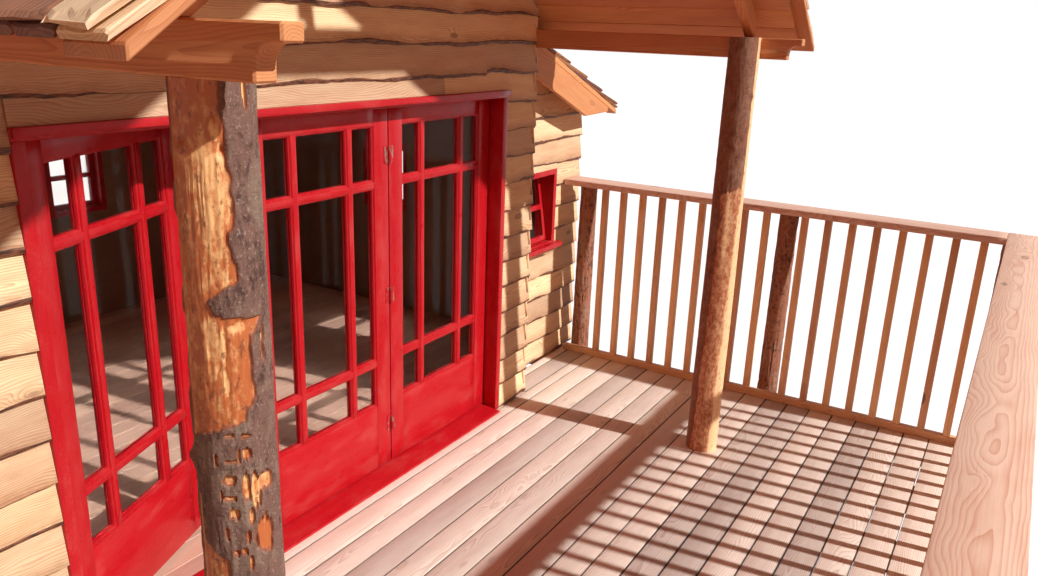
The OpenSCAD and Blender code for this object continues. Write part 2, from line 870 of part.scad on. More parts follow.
// The beam's outer end is thinned to a nose, with a hollow curve between
module beam_outline() {
    y0 = wall_y - beam_out;
    y1 = core_y;
    z0 = deck_top + beam_under;
    cove = beam_h - nose_h - nose_step;
    difference() {
        translate([y0, z0]) square([y1 - y0, beam_h]);
        translate([y0 - cut, z0 - cut]) square([nose_l - cove + cut, beam_h - nose_h + cut]);
        translate([y0 - cut, z0 - cut]) square([nose_l + cut, nose_step + cut]);
        translate([y0 + nose_l - cove, z0 + nose_step]) circle(r = cove);
    }
}

module eave_beams() {
    color(WOOD) sides() along_x(beam_x - beam_w / 2, beam_x + beam_w / 2) beam_outline();
}

// The truss over the posts: a collar tie between the rafters and a king post up to the ridge
module truss_board(x0, x1, z0, z1) {
    y = wall_y - post_out;
    block(x0, x1, y - truss_w / 2, y + truss_w / 2, z0, z1);
}

module collar_tie() {
    color(WOOD) difference() {
        truss_board(-post_half, post_half, collar_top - collar_h, collar_top);
        translate([0, 0, -rafter_h * up - seat]) above_roof(wall_y - beam_out, wall_y);
    }
}

module king_post() {
    color(WOOD) truss_board(-truss_w / 2, truss_w / 2, collar_top, ridge_top - ridge_h);
}

// Roof
module ridge_beam() {
    color(WOOD) block(-ridge_w / 2, ridge_w / 2, wall_y - roof_out, back_y + back_out,
        ridge_top - ridge_h, ridge_top);
}

cabin_rafters = 5;

// One rafter up to x1: its outline in X and Z
module rafter_outline(x1) {
    x0 = ridge_w / 2;
    top = boards_under_0 - roof_gap;
    low = rafter_h * up;
    polygon([
        [x0, roof_z(x0, top)], [x1, roof_z(x1, top)], [x1, roof_z(x1, top) - low],
        [x0, roof_z(x0, top) - low]
    ]);
}

// The porch pair stands on the eave beams and posts, and the cabin's pairs end at the upper side walls
module rafters() {
    beam_top = deck_top + beam_under + beam_h;
    y_truss = wall_y - post_out;
    inside = cabin_depth - 2 * (clad_t + wall_t);
    color(WOOD) sides() {
        difference() {
            along_y(y_truss - rafter_w / 2, y_truss + rafter_w / 2) rafter_outline(beam_x + beam_w / 2);
            block(post_half, beam_x + beam_w, y_truss - rafter_w, y_truss + rafter_w,
                beam_top - 2 * rafter_h, beam_top);
        }
        for (i = [1 : cabin_rafters]) {
            y = core_y + wall_t + i * inside / (cabin_rafters + 1);
            along_y(y - rafter_w / 2, y + rafter_w / 2) rafter_outline(bay_half - wall_t);
        }
    }
}

// The wall between the aisle roof and the main roof, carried across the open aisle
module upper_side_walls() {
    y0 = aisle_y + clad_t + wall_t;
    y1 = back_y - clad_t - wall_t;
    x0 = bay_half - wall_t;
    color(WOOD) sides() difference() {
        block(x0, bay_half, y0, y1, deck_top + lintel_under, roof_z(x0, boards_under_0) + cut);
        above_roof(y0 - cut, y1 + cut);
    }
}

module roof_layer(base, t, x0, x1, y0, y1) {
    along_y(y0, y1) polygon([
        [x0, roof_z(x0, base)], [x1, roof_z(x1, base)], [x1, roof_z(x1, base + t)],
        [x0, roof_z(x0, base + t)]
    ]);
}

module roof_boards() {
    color(WOOD) sides() roof_layer(boards_under_0, roof_board_t * up, ridge_gap, eave_half,
        wall_y - roof_out, back_y + back_out);
}

// Battens up the slope; the ones at the two verges are wide and run out past the roof boards
module roof_battens() {
    front = wall_y - roof_out - verge_out;
    back = back_y + back_out + verge_out;
    span = back - front - verge_board_w;
    color(WOOD) sides() {
        roof_layer(boards_top_0, batten_t * up, ridge_gap, batten_half, front, front + verge_board_w);
        roof_layer(boards_top_0, batten_t * up, ridge_gap, batten_half, back - verge_board_w, back);
        for (i = [1 : batten_count - 1]) {
            y = front + verge_board_w / 2 + i * span / batten_count;
            roof_layer(boards_top_0, batten_t * up, ridge_gap, batten_half, y - batten_w / 2, y + batten_w / 2);
        }
    }
}

// One slope of shakes in the XZ plane, from x0 down to x1: each course steps down over the next.
// z0 is the height of its underside at x = 0, s the fall for each unit of X.
module shake_outline(x0, x1, z0, s) {
    stretch = sqrt(1 + s * s);
    run = shake_course / stretch;
    count = ceil((x1 - x0) / run);
    butt = [for (i = [0 : count - 1]) x1 - i * run];
    steps = [for (x = butt) each [
        [x, z0 - x * s + shake_t * stretch],
        [max(x - run, x0), z0 - max(x - run, x0) * s + (shake_t - shake_butt) * stretch]
    ]];
    polygon(concat([[x0, z0 - x0 * s], [x1, z0 - x1 * s]], steps));
}

module roof_shakes() {
    color(SHAKE) sides() along_y(wall_y - roof_out - verge_out + shake_back,
        back_y + back_out + verge_out - shake_back)
        shake_outline(ridge_gap, batten_half + shake_over, roof_z(0, boards_top_0 + batten_t * up), slope);
}

module aisle_layer(base, t, x0, x1, y0, y1) {
    along_y(y0, y1) polygon([
        [x0, aisle_z(x0) + base], [x1, aisle_z(x1) + base], [x1, aisle_z(x1) + base + t],
        [x0, aisle_z(x0) + base + t]
    ]);
}

module aisle_roof_boards() {
    color(WOOD) sides() aisle_layer(0, roof_board_t * aisle_up, bay_half + seat, aisle_half + aisle_eave,
        aisle_front_y, back_y + back_out);
}

// Bargeboards of the aisle roofs: flush with the boards on top, with a level cut at the eave
module aisle_barges() {
    x0 = bay_half + seat;
    x1 = aisle_half + aisle_eave;
    top = roof_board_t * aisle_up;
    low = top - barge_h * aisle_up;
    tip = barge_h / 5;
    x2 = x1 + low / aisle_slope + tip;
    color(WOOD) sides() for (y = [aisle_front_y - barge_t, back_y + back_out]) {
        along_y(y, y + barge_t) polygon([
            [x0, aisle_z(x0) + top], [x1, aisle_z(x1) + top], [x1, aisle_z(x1) + top - tip],
            [x2, aisle_z(x2) + low], [x0, aisle_z(x0) + low]
        ]);
    }
}

module aisle_battens() {
    front = aisle_front_y - barge_t;
    back = back_y + back_out + barge_t;
    span = back - front - batten_w;
    base = roof_board_t * aisle_up + seat;
    color(WOOD) sides() for (i = [0 : aisle_batten_count]) {
        y = front + i * span / aisle_batten_count;
        aisle_layer(base, aisle_batten_t * aisle_up, bay_half + seat,
            aisle_half + aisle_eave + aisle_batten_out, y, y + batten_w);
    }
}

module aisle_shakes() {
    color(SHAKE) sides() along_y(aisle_front_y - barge_t, back_y + back_out + barge_t)
        shake_outline(bay_half + seat, aisle_half + aisle_eave + aisle_batten_out + shake_over,
            aisle_z(0) + (roof_board_t + aisle_batten_t) * aisle_up + 2 * seat, aisle_slope);
}

edge_stilts();
inner_stilts();
bearers();
joists();
deck_fascia();
deck_boards();
cabin_floor();
side_railings();
front_railing();
side_handrails();
front_handrail();
bay_walls();
front_gable();
aisle_fronts();
side_walls();
back_wall();
bay_cladding();
aisle_cladding();
side_cladding();
back_cladding();
door_frame();
door_threshold();
folding_leaf_middle();
folding_leaf_far();
folding_glass();
folding_hinges();
door_leaf();
door_leaf_glass();
hinge_pins();
hinge_straps();
window_frames();
window_sashes();
window_glass();
porch_posts();
eave_beams();
collar_tie();
king_post();
ridge_beam();
rafters();
upper_side_walls();
roof_boards();
roof_battens();
roof_shakes();
aisle_roof_boards();
aisle_battens();
aisle_barges();
aisle_shakes();
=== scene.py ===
"""Tree house: a timber cabin with red glazed doors, a gabled porch and a railed deck on log stilts.

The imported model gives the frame. Here its plain solids get waney boards, split shakes, bark, sawn and
planed timber, moulded door leaves and paint, all worked out as arrays and finished with node materials.
"""

import logging
import math
from dataclasses import dataclass, field, replace
from enum import Enum
from functools import cache
from typing import Callable, Sequence

import bmesh
import bpy
import numpy as np
from mathutils import Matrix, Vector


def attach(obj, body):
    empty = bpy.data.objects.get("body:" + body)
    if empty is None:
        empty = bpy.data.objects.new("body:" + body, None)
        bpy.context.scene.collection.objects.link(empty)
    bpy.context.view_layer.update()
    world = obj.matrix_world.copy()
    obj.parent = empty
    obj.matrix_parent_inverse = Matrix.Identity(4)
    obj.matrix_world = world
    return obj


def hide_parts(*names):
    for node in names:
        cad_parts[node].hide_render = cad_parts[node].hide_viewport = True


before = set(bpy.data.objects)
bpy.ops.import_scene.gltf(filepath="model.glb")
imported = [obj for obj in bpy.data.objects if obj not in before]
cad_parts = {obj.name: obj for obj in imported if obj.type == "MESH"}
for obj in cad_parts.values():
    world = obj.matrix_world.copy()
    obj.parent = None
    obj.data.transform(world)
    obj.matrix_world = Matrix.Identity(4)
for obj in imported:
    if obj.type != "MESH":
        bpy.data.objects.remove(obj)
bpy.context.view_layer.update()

LOG = logging.getLogger("tree_house")
Array = np.ndarray
Points = Array | Sequence
Socket = bpy.types.NodeSocket
Colour = tuple[float, float, float]

HASH_STEPS = (73856093, 19349663, 83492791, 2654435)
HASH_MIX = 1274126177
"""Large odd numbers that scatter neighbouring cells and seeds."""

X_WAY, Y_WAY, Z_WAY = np.eye(3)
PALE = (0.8, 0.5, 0.3)
"""The colour of a finish that names none."""

GRAIN_SHIFT = np.array([40.0, 0.11, 0.05])
"""How far along, across and into its log a timber's grain may start, in metres."""

BOARD_SEEDS = 100000
"""Added to a board's number, so that its seed is none of a panel's."""

MERGE = 2e-5
"""Points of a CAD node that are this near to each other, in metres, become one."""

FLAT, EDGE_FOLD, SOFT_FOLD, SOFT_RING = (math.radians(fold) for fold in (1, 25, 32, 40))
"""Folds under which faces join, over which edges are bevelled, and under which shading stays smooth."""


# Noise and outlines


def hashed(cell: Array, seed: int) -> Array:
    """A fixed random value in -1..1 for each whole-number cell.

    Args:
        cell: (..., 3) whole numbers.
        seed: another number chooses another set of values.

    Returns:
        (...) values.
    """
    x, y, z, own = HASH_STEPS
    mixed = cell[..., 0] * x ^ cell[..., 1] * y ^ cell[..., 2] * z ^ seed * own
    mixed = (mixed ^ mixed >> 13) * HASH_MIX
    return (mixed >> 7 & 0xFFFF) / 32767.5 - 1.0


def lattice(points: Array, seed: int = 0) -> Array:
    """Smooth noise in -1..1: random values on a cubic lattice, blended by 3t^2 - 2t^3 between corners.

    Args:
        points: (..., 3) places, one lattice cell to the unit.
        seed: chooses the values.

    Returns:
        (...) noise.
    """
    base = np.floor(points).astype(np.int64)
    part = points - base
    ease = part * part * (3.0 - 2.0 * part)
    total = np.zeros(points.shape[:-1])
    for corner in range(8):
        step = np.array([corner & 1, corner >> 1 & 1, corner >> 2 & 1])
        weight = np.prod(np.where(step == 1, ease, 1.0 - ease), axis=-1)
        total += weight * hashed(base + step, seed)
    return total


def fractal(points: Array, seed: int = 0, octaves: int = 3) -> Array:
    """A sum of lattice noises, each of twice the frequency and half the height of the one before.

    Args:
        points: (..., 3) places.
        seed: chooses the values.
        octaves: how many noises are summed.

    Returns:
        (...) noise, about -1..1.
    """
    total = np.zeros(points.shape[:-1])
    for level in range(octaves):
        total += lattice(points * 2.0**level, seed + level) * 0.5**level
    return total / (2.0 - 2.0 ** (1 - octaves))


def smooth(value: Array, low: float, high: float) -> Array:
    """0 under low, 1 over high, and 3t^2 - 2t^3 between."""
    t = np.clip((value - low) / (high - low), 0.0, 1.0)
    return t * t * (3.0 - 2.0 * t)


def rounded_outline(width: Array, depth: Array, radius: Array, steps: int = 2) -> Array:
    """A rectangle with quarter-circle corners: its centre plus radius times (cos a, sin a) in each corner.

    Args:
        width: (...) widths of the rectangles.
        depth: (...) depths.
        radius: (...) corner radii.
        steps: points on each corner.

    Returns:
        (..., 4 * steps, 2) points, anticlockwise.
    """
    signs = np.repeat(np.array([[1, 1], [-1, 1], [-1, -1], [1, -1]]), steps, axis=0)
    turn = np.repeat(np.arange(4) * np.pi / 2, steps) + np.tile(np.linspace(0, np.pi / 2, steps), 4)
    half = np.stack([width, depth], -1)[..., None, :] / 2 - radius[..., None, None]
    return signs * half + radius[..., None, None] * np.stack([np.cos(turn), np.sin(turn)], -1)


def xyz(x: Points | float, y: Points | float, z: Points | float) -> Array:
    """Points from their three coordinates, each stretched to the shape of all."""
    return np.stack(np.broadcast_arrays(x, y, z), -1)


def on_log(ring: Array, height: Array, across: float, along: float, shift: Array | float = 0.0) -> Array:
    """Noise places on a log's skin: the way out from its middle and the height, each times its scale."""
    return np.concatenate([ring * across + shift, height[..., None] * along], -1)


# Meshes


@dataclass
class Shape:
    """One piece under construction: points, faces, and what the materials read at each point."""

    points: list[Array] = field(default_factory=list)
    faces: list[list[int]] = field(default_factory=list)
    grain: list[Array] = field(default_factory=list)
    tone: list[Array] = field(default_factory=list)
    mask: list[Array] = field(default_factory=list)
    count: int = 0

    def add(self, points: Array, faces: list, grain: Array, tone: Array, mask: Array) -> None:
        """Appends points and faces.

        Args:
            points: (..., 3) points.
            faces: corners of each face, counted from the first of these points.
            grain: place of each point in its timber.
            tone: values that can be stretched to the points.
            mask: the same.
        """
        self.points.append(points.reshape(-1, 3))
        self.grain.append(grain.reshape(-1, 3))
        self.tone.append(np.broadcast_to(tone, points.shape[:-1]).reshape(-1))
        self.mask.append(np.broadcast_to(mask, points.shape[:-1]).reshape(-1))
        self.faces.extend((np.asarray(faces) + self.count).tolist() if len(faces) else [])
        self.count += self.points[-1].shape[0]

    def add_bars(self, rings: Array, grain: Array, tone: Array, mask: Array | float = 0.0,
                 looped: bool = False) -> None:
        """Adds bars, each a run of rings joined by quads, closed by its two end faces.

        Args:
            rings: (M, N, K, 3) points: M bars of N rings of K points, anticlockwise about the way along.
            grain: (M, N, K, 3) places in the timber.
            tone: (M,) random value of each bar, or (M, N, K) values.
            mask: (M, N, K) values, or one value.
            looped: the last ring joins the first, as in a mitred frame.
        """
        bars, count, sides = rings.shape[:3]
        ring = np.arange(count if looped else count - 1)
        first = ring[:, None] * sides
        second = ((ring + 1) % count)[:, None] * sides
        here, after = np.arange(sides), (np.arange(sides) + 1) % sides
        quads = np.stack([first + here, first + after, second + after, second + here], -1).reshape(-1, 4)
        start = (np.arange(bars) * count * sides)[:, None, None]
        tone = tone if np.ndim(tone) == 3 else np.asarray(tone).reshape(-1, 1, 1)
        kept = self.count
        self.add(rings, (quads + start).reshape(-1, 4), grain, tone, mask)
        if not looped:
            ends = np.stack([here[::-1], here + (count - 1) * sides])
            self.faces.extend((ends[None] + start + kept).reshape(-1, sides).tolist())

    def add_timber(self, cut: "Timber", start: Points, end: Points, across: Array, width: Array | float,
                   depth: Array | float, seed: int) -> None:
        """Adds straight timbers from one row of places to another, as Timber.bars cuts them."""
        self.add_bars(*cut.bars(start, end, across, width, depth, seed))

    def build(self, name: str, finish: "Finish", node: str = "", body: str = "house",
              smoothed: bool = True) -> bpy.types.Object:
        """Makes the object, gives it its finish, and sets it on its body.

        Args:
            name: the piece's name.
            finish: its finish.
            node: the CAD node that it stands for, if any.
            body: the CAD body that it moves with.
            smoothed: shade across the edges that fold by less than SOFT_RING.

        Returns:
            The object.
        """
        mesh = bpy.data.meshes.new(name)
        mesh.from_pydata(np.concatenate(self.points), [], self.faces, shade_flat=not smoothed)
        write_marks(mesh, np.concatenate(self.grain), np.concatenate(self.tone), np.concatenate(self.mask))
        turn_outward(mesh)
        if smoothed:
            mesh.set_sharp_from_angle(angle=SOFT_RING)
        return place(mesh, name, finish, node, body)


def turn_outward(mesh: bpy.types.Mesh) -> None:
    """Turns every closed shell of a mesh so that its faces point outwards.

    Args:
        mesh: the mesh.
    """
    work = bmesh.new()
    work.from_mesh(mesh)
    bmesh.ops.recalc_face_normals(work, faces=work.faces)
    work.to_mesh(mesh)
    work.free()


def write_marks(mesh: bpy.types.Mesh, grain: Array, tone: Array, mask: Array) -> None:
    """Writes the marks of each point as the mesh's own attributes.

    Args:
        mesh: the mesh.
        grain: (V, 3) places in the timber.
        tone: (V,) values of 0..1, one for each timber or freshness of the wood.
        mask: (V,) values of 0..1, such as bark, or dirt and painted shade on the deck boards' sides.
    """
    mesh.attributes.new("grain", "FLOAT_VECTOR", "POINT").data.foreach_set(
        "vector", np.ascontiguousarray(grain, np.float32).ravel())
    for name, values in (("tone", tone), ("mask", mask)):
        mesh.attributes.new(name, "FLOAT", "POINT").data.foreach_set(
            "value", np.ascontiguousarray(values, np.float32))


def place(mesh: bpy.types.Mesh, name: str, finish: "Finish", node: str, body: str) -> bpy.types.Object:
    """Links a finished mesh as a piece of the tree house and reports it.

    Args:
        mesh: the mesh.
        name: the piece's name.
        finish: its finish.
        node: the CAD node that it stands for, or nothing.
        body: the CAD body that it moves with.

    Returns:
        The object.
    """
    piece = bpy.data.objects.new(name, mesh)
    bpy.context.scene.collection.objects.link(piece)
    mesh.materials.append(finish.material())
    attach(piece, body)
    if node:
        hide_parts(node)
    LOG.info("%s: %d faces, stands for %s", name, len(mesh.polygons), node or "nothing")
    return piece


@dataclass(frozen=True)
class Timber:
    """How straight timber is cut: its corners, its wander off a straight line and its rings."""

    radius: float = 0.003
    wander: float = 0.001
    rings: int = 10
    steps: int = 2

    def bars(self, start: Points, end: Points, across: Array, width: Array | float, depth: Array | float,
             seed: int) -> tuple[Array, Array, Array]:
        """Timbers between two rows of points: a rounded section carried along each straight line.

        The section shrinks by its radius at the first and last ring, which bevels the ends, and the
        whole ring moves by wander times a smooth noise of the length.

        Args:
            start: (M, 3) middles of the first ends, or one place.
            end: (M, 3) middles of the last ends, or one place.
            across: (3,) direction of the width.
            width: (M,) or one width.
            depth: (M,) or one depth.
            seed: chooses the wander, tones and grain.

        Returns:
            Rings, grain and tone as add_bars takes them.
        """
        start, end = np.atleast_2d(start).astype(float), np.atleast_2d(end).astype(float)
        bars = len(start)
        rng = np.random.default_rng(seed)
        length = np.linalg.norm(end - start, axis=1)
        along = (end - start) / length[:, None]
        across = np.broadcast_to(across, (bars, 3))
        deep = np.cross(along, across)
        bevel = self.radius * 0.8
        inner = np.linspace(0.0, 1.0, self.rings - 2)[None] * (1 - 2 * bevel / length[:, None])
        inner = inner + bevel / length[:, None]
        share = np.concatenate([np.zeros((bars, 1)), inner, np.ones((bars, 1))], 1)
        full = rounded_outline(np.broadcast_to(width, (bars,)), np.broadcast_to(depth, (bars,)),
                               np.full(bars, self.radius), self.steps)
        small = full - np.sign(full) * bevel * 0.8
        tip = np.zeros(self.rings)
        tip[[0, -1]] = 1.0
        section = full[:, None] + (small - full)[:, None] * tip[None, :, None, None]
        line = start[:, None] + share[..., None] * (end - start)[:, None]
        spot = share * length[:, None]
        own = np.arange(bars)[:, None] * 7.3
        sway = np.stack([lattice(xyz(spot * 1.7, own, row), seed) for row in (0.5, 3.5)], -1) * self.wander
        section = section + sway[:, :, None, :]
        rings = (line[:, :, None] + section[..., :1] * across[:, None, None]
                 + section[..., 1:] * deep[:, None, None])
        where = xyz(spot[..., None], section[..., 0], section[..., 1])
        where = where + rng.uniform(-1, 1, (bars, 1, 1, 3)) * GRAIN_SHIFT
        return rings, where, rng.uniform(0, 1, bars)


def soften(node: str, finish: "Finish", width: float, seed: int) -> bpy.types.Object:
    """A copy of a CAD node with its loose triangles merged, its edges bevelled and a grain for each solid.

    The grain of a solid runs along the main axis of its points, worked out from their covariance.

    Args:
        node: the CAD node.
        finish: the finish.
        width: width of the bevel in metres.
        seed: chooses the grain and tones.

    Returns:
        The object, which stands for the node.
    """
    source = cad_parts[node]
    work = bmesh.new()
    work.from_mesh(source.data)
    bmesh.ops.remove_doubles(work, verts=work.verts, dist=MERGE)
    bmesh.ops.dissolve_limit(work, angle_limit=FLAT, verts=work.verts, edges=work.edges)
    sharp = [e for e in work.edges if len(e.link_faces) == 2 and e.calc_face_angle(0.0) > EDGE_FOLD]
    bmesh.ops.bevel(work, geom=sharp, offset=width, segments=1, affect="EDGES", clamp_overlap=True)
    mesh = bpy.data.meshes.new(node + "_worked")
    work.to_mesh(mesh)
    work.free()
    points = np.empty(len(mesh.vertices) * 3)
    mesh.vertices.foreach_get("co", points)
    points = points.reshape(-1, 3)
    edges = np.empty(len(mesh.edges) * 2, np.int64)
    mesh.edges.foreach_get("vertices", edges)
    label = islands(len(points), edges.reshape(-1, 2))
    rng = np.random.default_rng(seed)
    grain, tone = np.empty_like(points), np.empty(len(points))
    for solid in np.unique(label):
        own = label == solid
        local = points[own] - points[own].mean(0)
        axes = np.linalg.svd(local, full_matrices=False)[2]
        grain[own] = local @ axes.T + rng.uniform(-1, 1, 3) * GRAIN_SHIFT
        tone[own] = rng.uniform()
    write_marks(mesh, grain, tone, np.zeros(len(points)))
    mesh.shade_smooth()
    mesh.set_sharp_from_angle(angle=SOFT_FOLD)
    return place(mesh, node + "_worked", finish, node, "house")


def islands(count: int, edges: Array) -> Array:
    """A label for each point, the same for all points joined by edges: the lowest one spreads until still.

    Args:
        count: how many points there are.
        edges: (E, 2) points that each edge joins.

    Returns:
        (count,) labels.
    """
    label = np.arange(count)
    while True:
        low = np.minimum(label[edges[:, 0]], label[edges[:, 1]])
        before = label.copy()
        np.minimum.at(label, edges[:, 0], low)
        np.minimum.at(label, edges[:, 1], low)
        label = label[label]
        if np.array_equal(before, label):
            return label


# Shader groups


@dataclass
class Graph:
    """Adds nodes to a shader tree and links them."""

    tree: bpy.types.NodeTree

    def node(self, kind: str, **settings: object) -> bpy.types.Node:
        """A new node.

        Args:
            kind: its Blender type.
            **settings: its properties.

        Returns:
            The node.
        """
        made = self.tree.nodes.new(kind)
        for key, value in settings.items():
            setattr(made, key, value)
        return made

    def feed(self, socket: Socket, value: object) -> None:
        """Links a socket, or sets a plain value, on an input.

        Args:
            socket: the input.
            value: a socket, a number, a place, or a colour of three numbers, which is made solid.
        """
        if isinstance(value, bpy.types.NodeSocket):
            self.tree.links.new(value, socket)
        elif socket.type == "RGBA":
            socket.default_value = (*value[:3], 1.0)
        else:
            socket.default_value = value

    def fill(self, made: bpy.types.Node, **values: object) -> bpy.types.Node:
        """Feeds a node's inputs by name.

        Args:
            made: the node.
            **values: a value for each input, with _ for each space in its name.

        Returns:
            The same node.
        """
        for label, value in values.items():
            self.feed(made.inputs[label.replace("_", " ")], value)
        return made

    def load(self, made: bpy.types.Node, *values: object) -> Socket:
        """Feeds a node's first inputs in their order.

        Args:
            made: the node.
            *values: a value for each input.

        Returns:
            The node's first output.
        """
        for socket, value in zip(made.inputs, values):
            self.feed(socket, value)
        return made.outputs[0]

    def math(self, operation: str, a: object, b: object, clamp: bool = False) -> Socket:
        """One math node."""
        return self.load(self.node("ShaderNodeMath", operation=operation, use_clamp=clamp), a, b)

    def times(self, a: object, b: object) -> Socket:
        """Multiplies two values."""
        return self.math("MULTIPLY", a, b)

    def plus(self, a: object, b: object, clamp: bool = False) -> Socket:
        """Adds two values."""
        return self.math("ADD", a, b, clamp)

    def around(self, value: object, middle: float, reach: object) -> Socket:
        """How far a value lies from its middle, times a reach."""
        return self.times(self.math("SUBTRACT", value, middle), reach)

    def vector(self, operation: str, a: object, b: object) -> Socket:
        """One vector math node."""
        return self.load(self.node("ShaderNodeVectorMath", operation=operation), a, b)

    def span(self, value: object, low: float, high: float, to_low: float = 0.0,
             to_high: float = 1.0) -> Socket:
        """Maps low..high to to_low..to_high, smoothly and clamped."""
        made = self.node("ShaderNodeMapRange", interpolation_type="SMOOTHSTEP")
        return self.load(made, value, low, high, to_low, to_high)

    def blend(self, share: object, a: object, b: object) -> Socket:
        """Mixes two colours.

        Args:
            share: 0 for the first colour, 1 for the second.
            a: the first.
            b: the second.

        Returns:
            The mixed colour.
        """
        made = self.node("ShaderNodeMix", data_type="RGBA", blend_type="MIX", clamp_factor=True)
        for index, item in ((0, share), (6, a), (7, b)):
            self.feed(made.inputs[index], item)
        return made.outputs[2]

    def noise(self, place: object, scale: Sequence[float] | float, detail: float = 3.0,
              rough: float = 0.55) -> Socket:
        """Noise in 0..1.

        Args:
            place: the socket that gives the place.
            scale: one scale, or one for each axis.
            detail: how many octaves.
            rough: how strong the finer ones are.

        Returns:
            The noise.
        """
        if not isinstance(scale, (int, float)):
            place = self.vector("MULTIPLY", place, tuple(scale))
            scale = 1.0
        made = self.node("ShaderNodeTexNoise", noise_dimensions="3D")
        return self.fill(made, Vector=place, Scale=scale, Detail=detail, Roughness=rough).outputs["Fac"]

    def mark(self, name: str) -> Socket:
        """The mesh's own attribute: a place for the grain, a value for the others."""
        made = self.node("ShaderNodeAttribute", attribute_name=name)
        return made.outputs["Vector" if name == "grain" else "Fac"]

    def own_place(self) -> Socket:
        """The piece's Object coordinates."""
        return self.node("ShaderNodeTexCoord").outputs["Object"]


def new_group(name: str, inputs: dict[str, object]) -> tuple[Graph, dict[str, Socket]]:
    """A shader node group with named inputs that puts out Color, Roughness and Height.

    Args:
        name: the group's name.
        inputs: the default of each input: a number, a place of three or a colour of four.

    Returns:
        The group's graph and its inputs by name.
    """
    tree = bpy.data.node_groups.new(name, "ShaderNodeTree")
    kinds = {1: "Float", 3: "Vector", 4: "Color"}
    for label, value in inputs.items():
        kind = "NodeSocket" + kinds[np.size(value)]
        tree.interface.new_socket(label, in_out="INPUT", socket_type=kind).default_value = value
    for label, kind in (("Color", "Color"), ("Roughness", "Float"), ("Height", "Float")):
        tree.interface.new_socket(label, in_out="OUTPUT", socket_type="NodeSocket" + kind)
    g = Graph(tree)
    return g, {socket.name: socket for socket in g.node("NodeGroupInput").outputs if socket.name}


@cache
def timber_figure() -> bpy.types.NodeTree:
    """Grain of sawn softwood: growth rings about the way along, fine fibres, knots and weathering.

    Returns:
        The group, the same one at every call.
    """
    g, given = new_group("timber_figure", {
        "Grain": (0, 0, 0), "Tone": 0.5, "Pale": (0.8, 0.5, 0.3, 1), "Deep": (0.5, 0.25, 0.12, 1),
        "Rings": 0.6, "Knots": 0.6, "Grey": 0.0, "Rough": 0.6, "Variation": 0.5})
    place = given["Grain"]
    cell = g.fill(g.node("ShaderNodeTexVoronoi", voronoi_dimensions="3D", feature="F1"),
                  Vector=g.vector("MULTIPLY", place, (3.2, 8.0, 8.0)), Scale=1.0)
    away = cell.outputs["Distance"]
    pick = g.fill(g.node("ShaderNodeSeparateColor"), Color=cell.outputs["Color"])
    chosen = g.times(g.span(pick.outputs[0], 0.52, 0.56), given["Knots"])
    near = g.times(g.span(away, 0.34, 0.06), chosen)
    knot = g.times(g.span(away, 0.105, 0.075), chosen)
    rim = g.times(g.times(g.span(away, 0.15, 0.10), g.span(away, 0.06, 0.095)), chosen)
    drift = g.noise(place, (1.7, 5.0, 5.0), 2.0)
    bend = g.plus(g.around(drift, 0.5, 0.12), g.times(near, 0.032))
    offset = g.fill(g.node("ShaderNodeCombineXYZ"), Y=bend, Z=g.times(bend, 0.7))
    warped = g.vector("ADD", g.vector("MULTIPLY", place, (0.12, 1.0, 1.0)), offset.outputs[0])
    wave = g.node("ShaderNodeTexWave", wave_type="RINGS", rings_direction="X", wave_profile="SAW")
    g.fill(wave, Vector=warped, Scale=44.0, Distortion=2.2, Detail=2.0, Detail_Scale=0.6)
    late = g.math("POWER", wave.outputs["Fac"], 2.4)
    fibre = g.noise(place, (5.0, 330.0, 330.0), 3.0, 0.6)
    blotch = g.plus(g.times(g.noise(place, (1.1, 7.0, 7.0), 3.0), 0.6),
                    g.times(g.noise(place, (5.0, 26.0, 26.0), 4.0, 0.6), 0.55))
    depth = g.plus(g.times(late, given["Rings"]), g.around(fibre, 0.5, 0.55))
    depth = g.plus(depth, g.around(blotch, 0.53, 1.25), clamp=True)
    shade = g.blend(depth, given["Pale"], given["Deep"])
    shade = g.blend(g.times(rim, 0.8), shade, (0.16, 0.065, 0.03))
    shade = g.blend(g.times(knot, 0.75), shade, (0.33, 0.13, 0.05))
    tint = g.fill(g.node("ShaderNodeHueSaturation"), Color=shade,
                  Hue=g.plus(0.5, g.around(given["Tone"], 0.5, g.times(given["Variation"], 0.018))),
                  Value=g.plus(1.0, g.around(given["Tone"], 0.5, g.times(given["Variation"], 0.55))))
    worn = g.times(given["Grey"], g.span(g.noise(place, (2.0, 16.0, 16.0), 4.0), 0.32, 0.68, 0.35, 1.0))
    silver = g.blend(fibre, (0.33, 0.29, 0.26), (0.56, 0.50, 0.46))
    g.fill(g.node("NodeGroupOutput"), Color=g.blend(worn, tint.outputs[0], silver),
           Roughness=g.plus(given["Rough"], g.around(fibre, 0.5, 0.3), clamp=True),
           Height=g.plus(g.times(late, 0.35), g.times(fibre, 0.65)))
    return g.tree


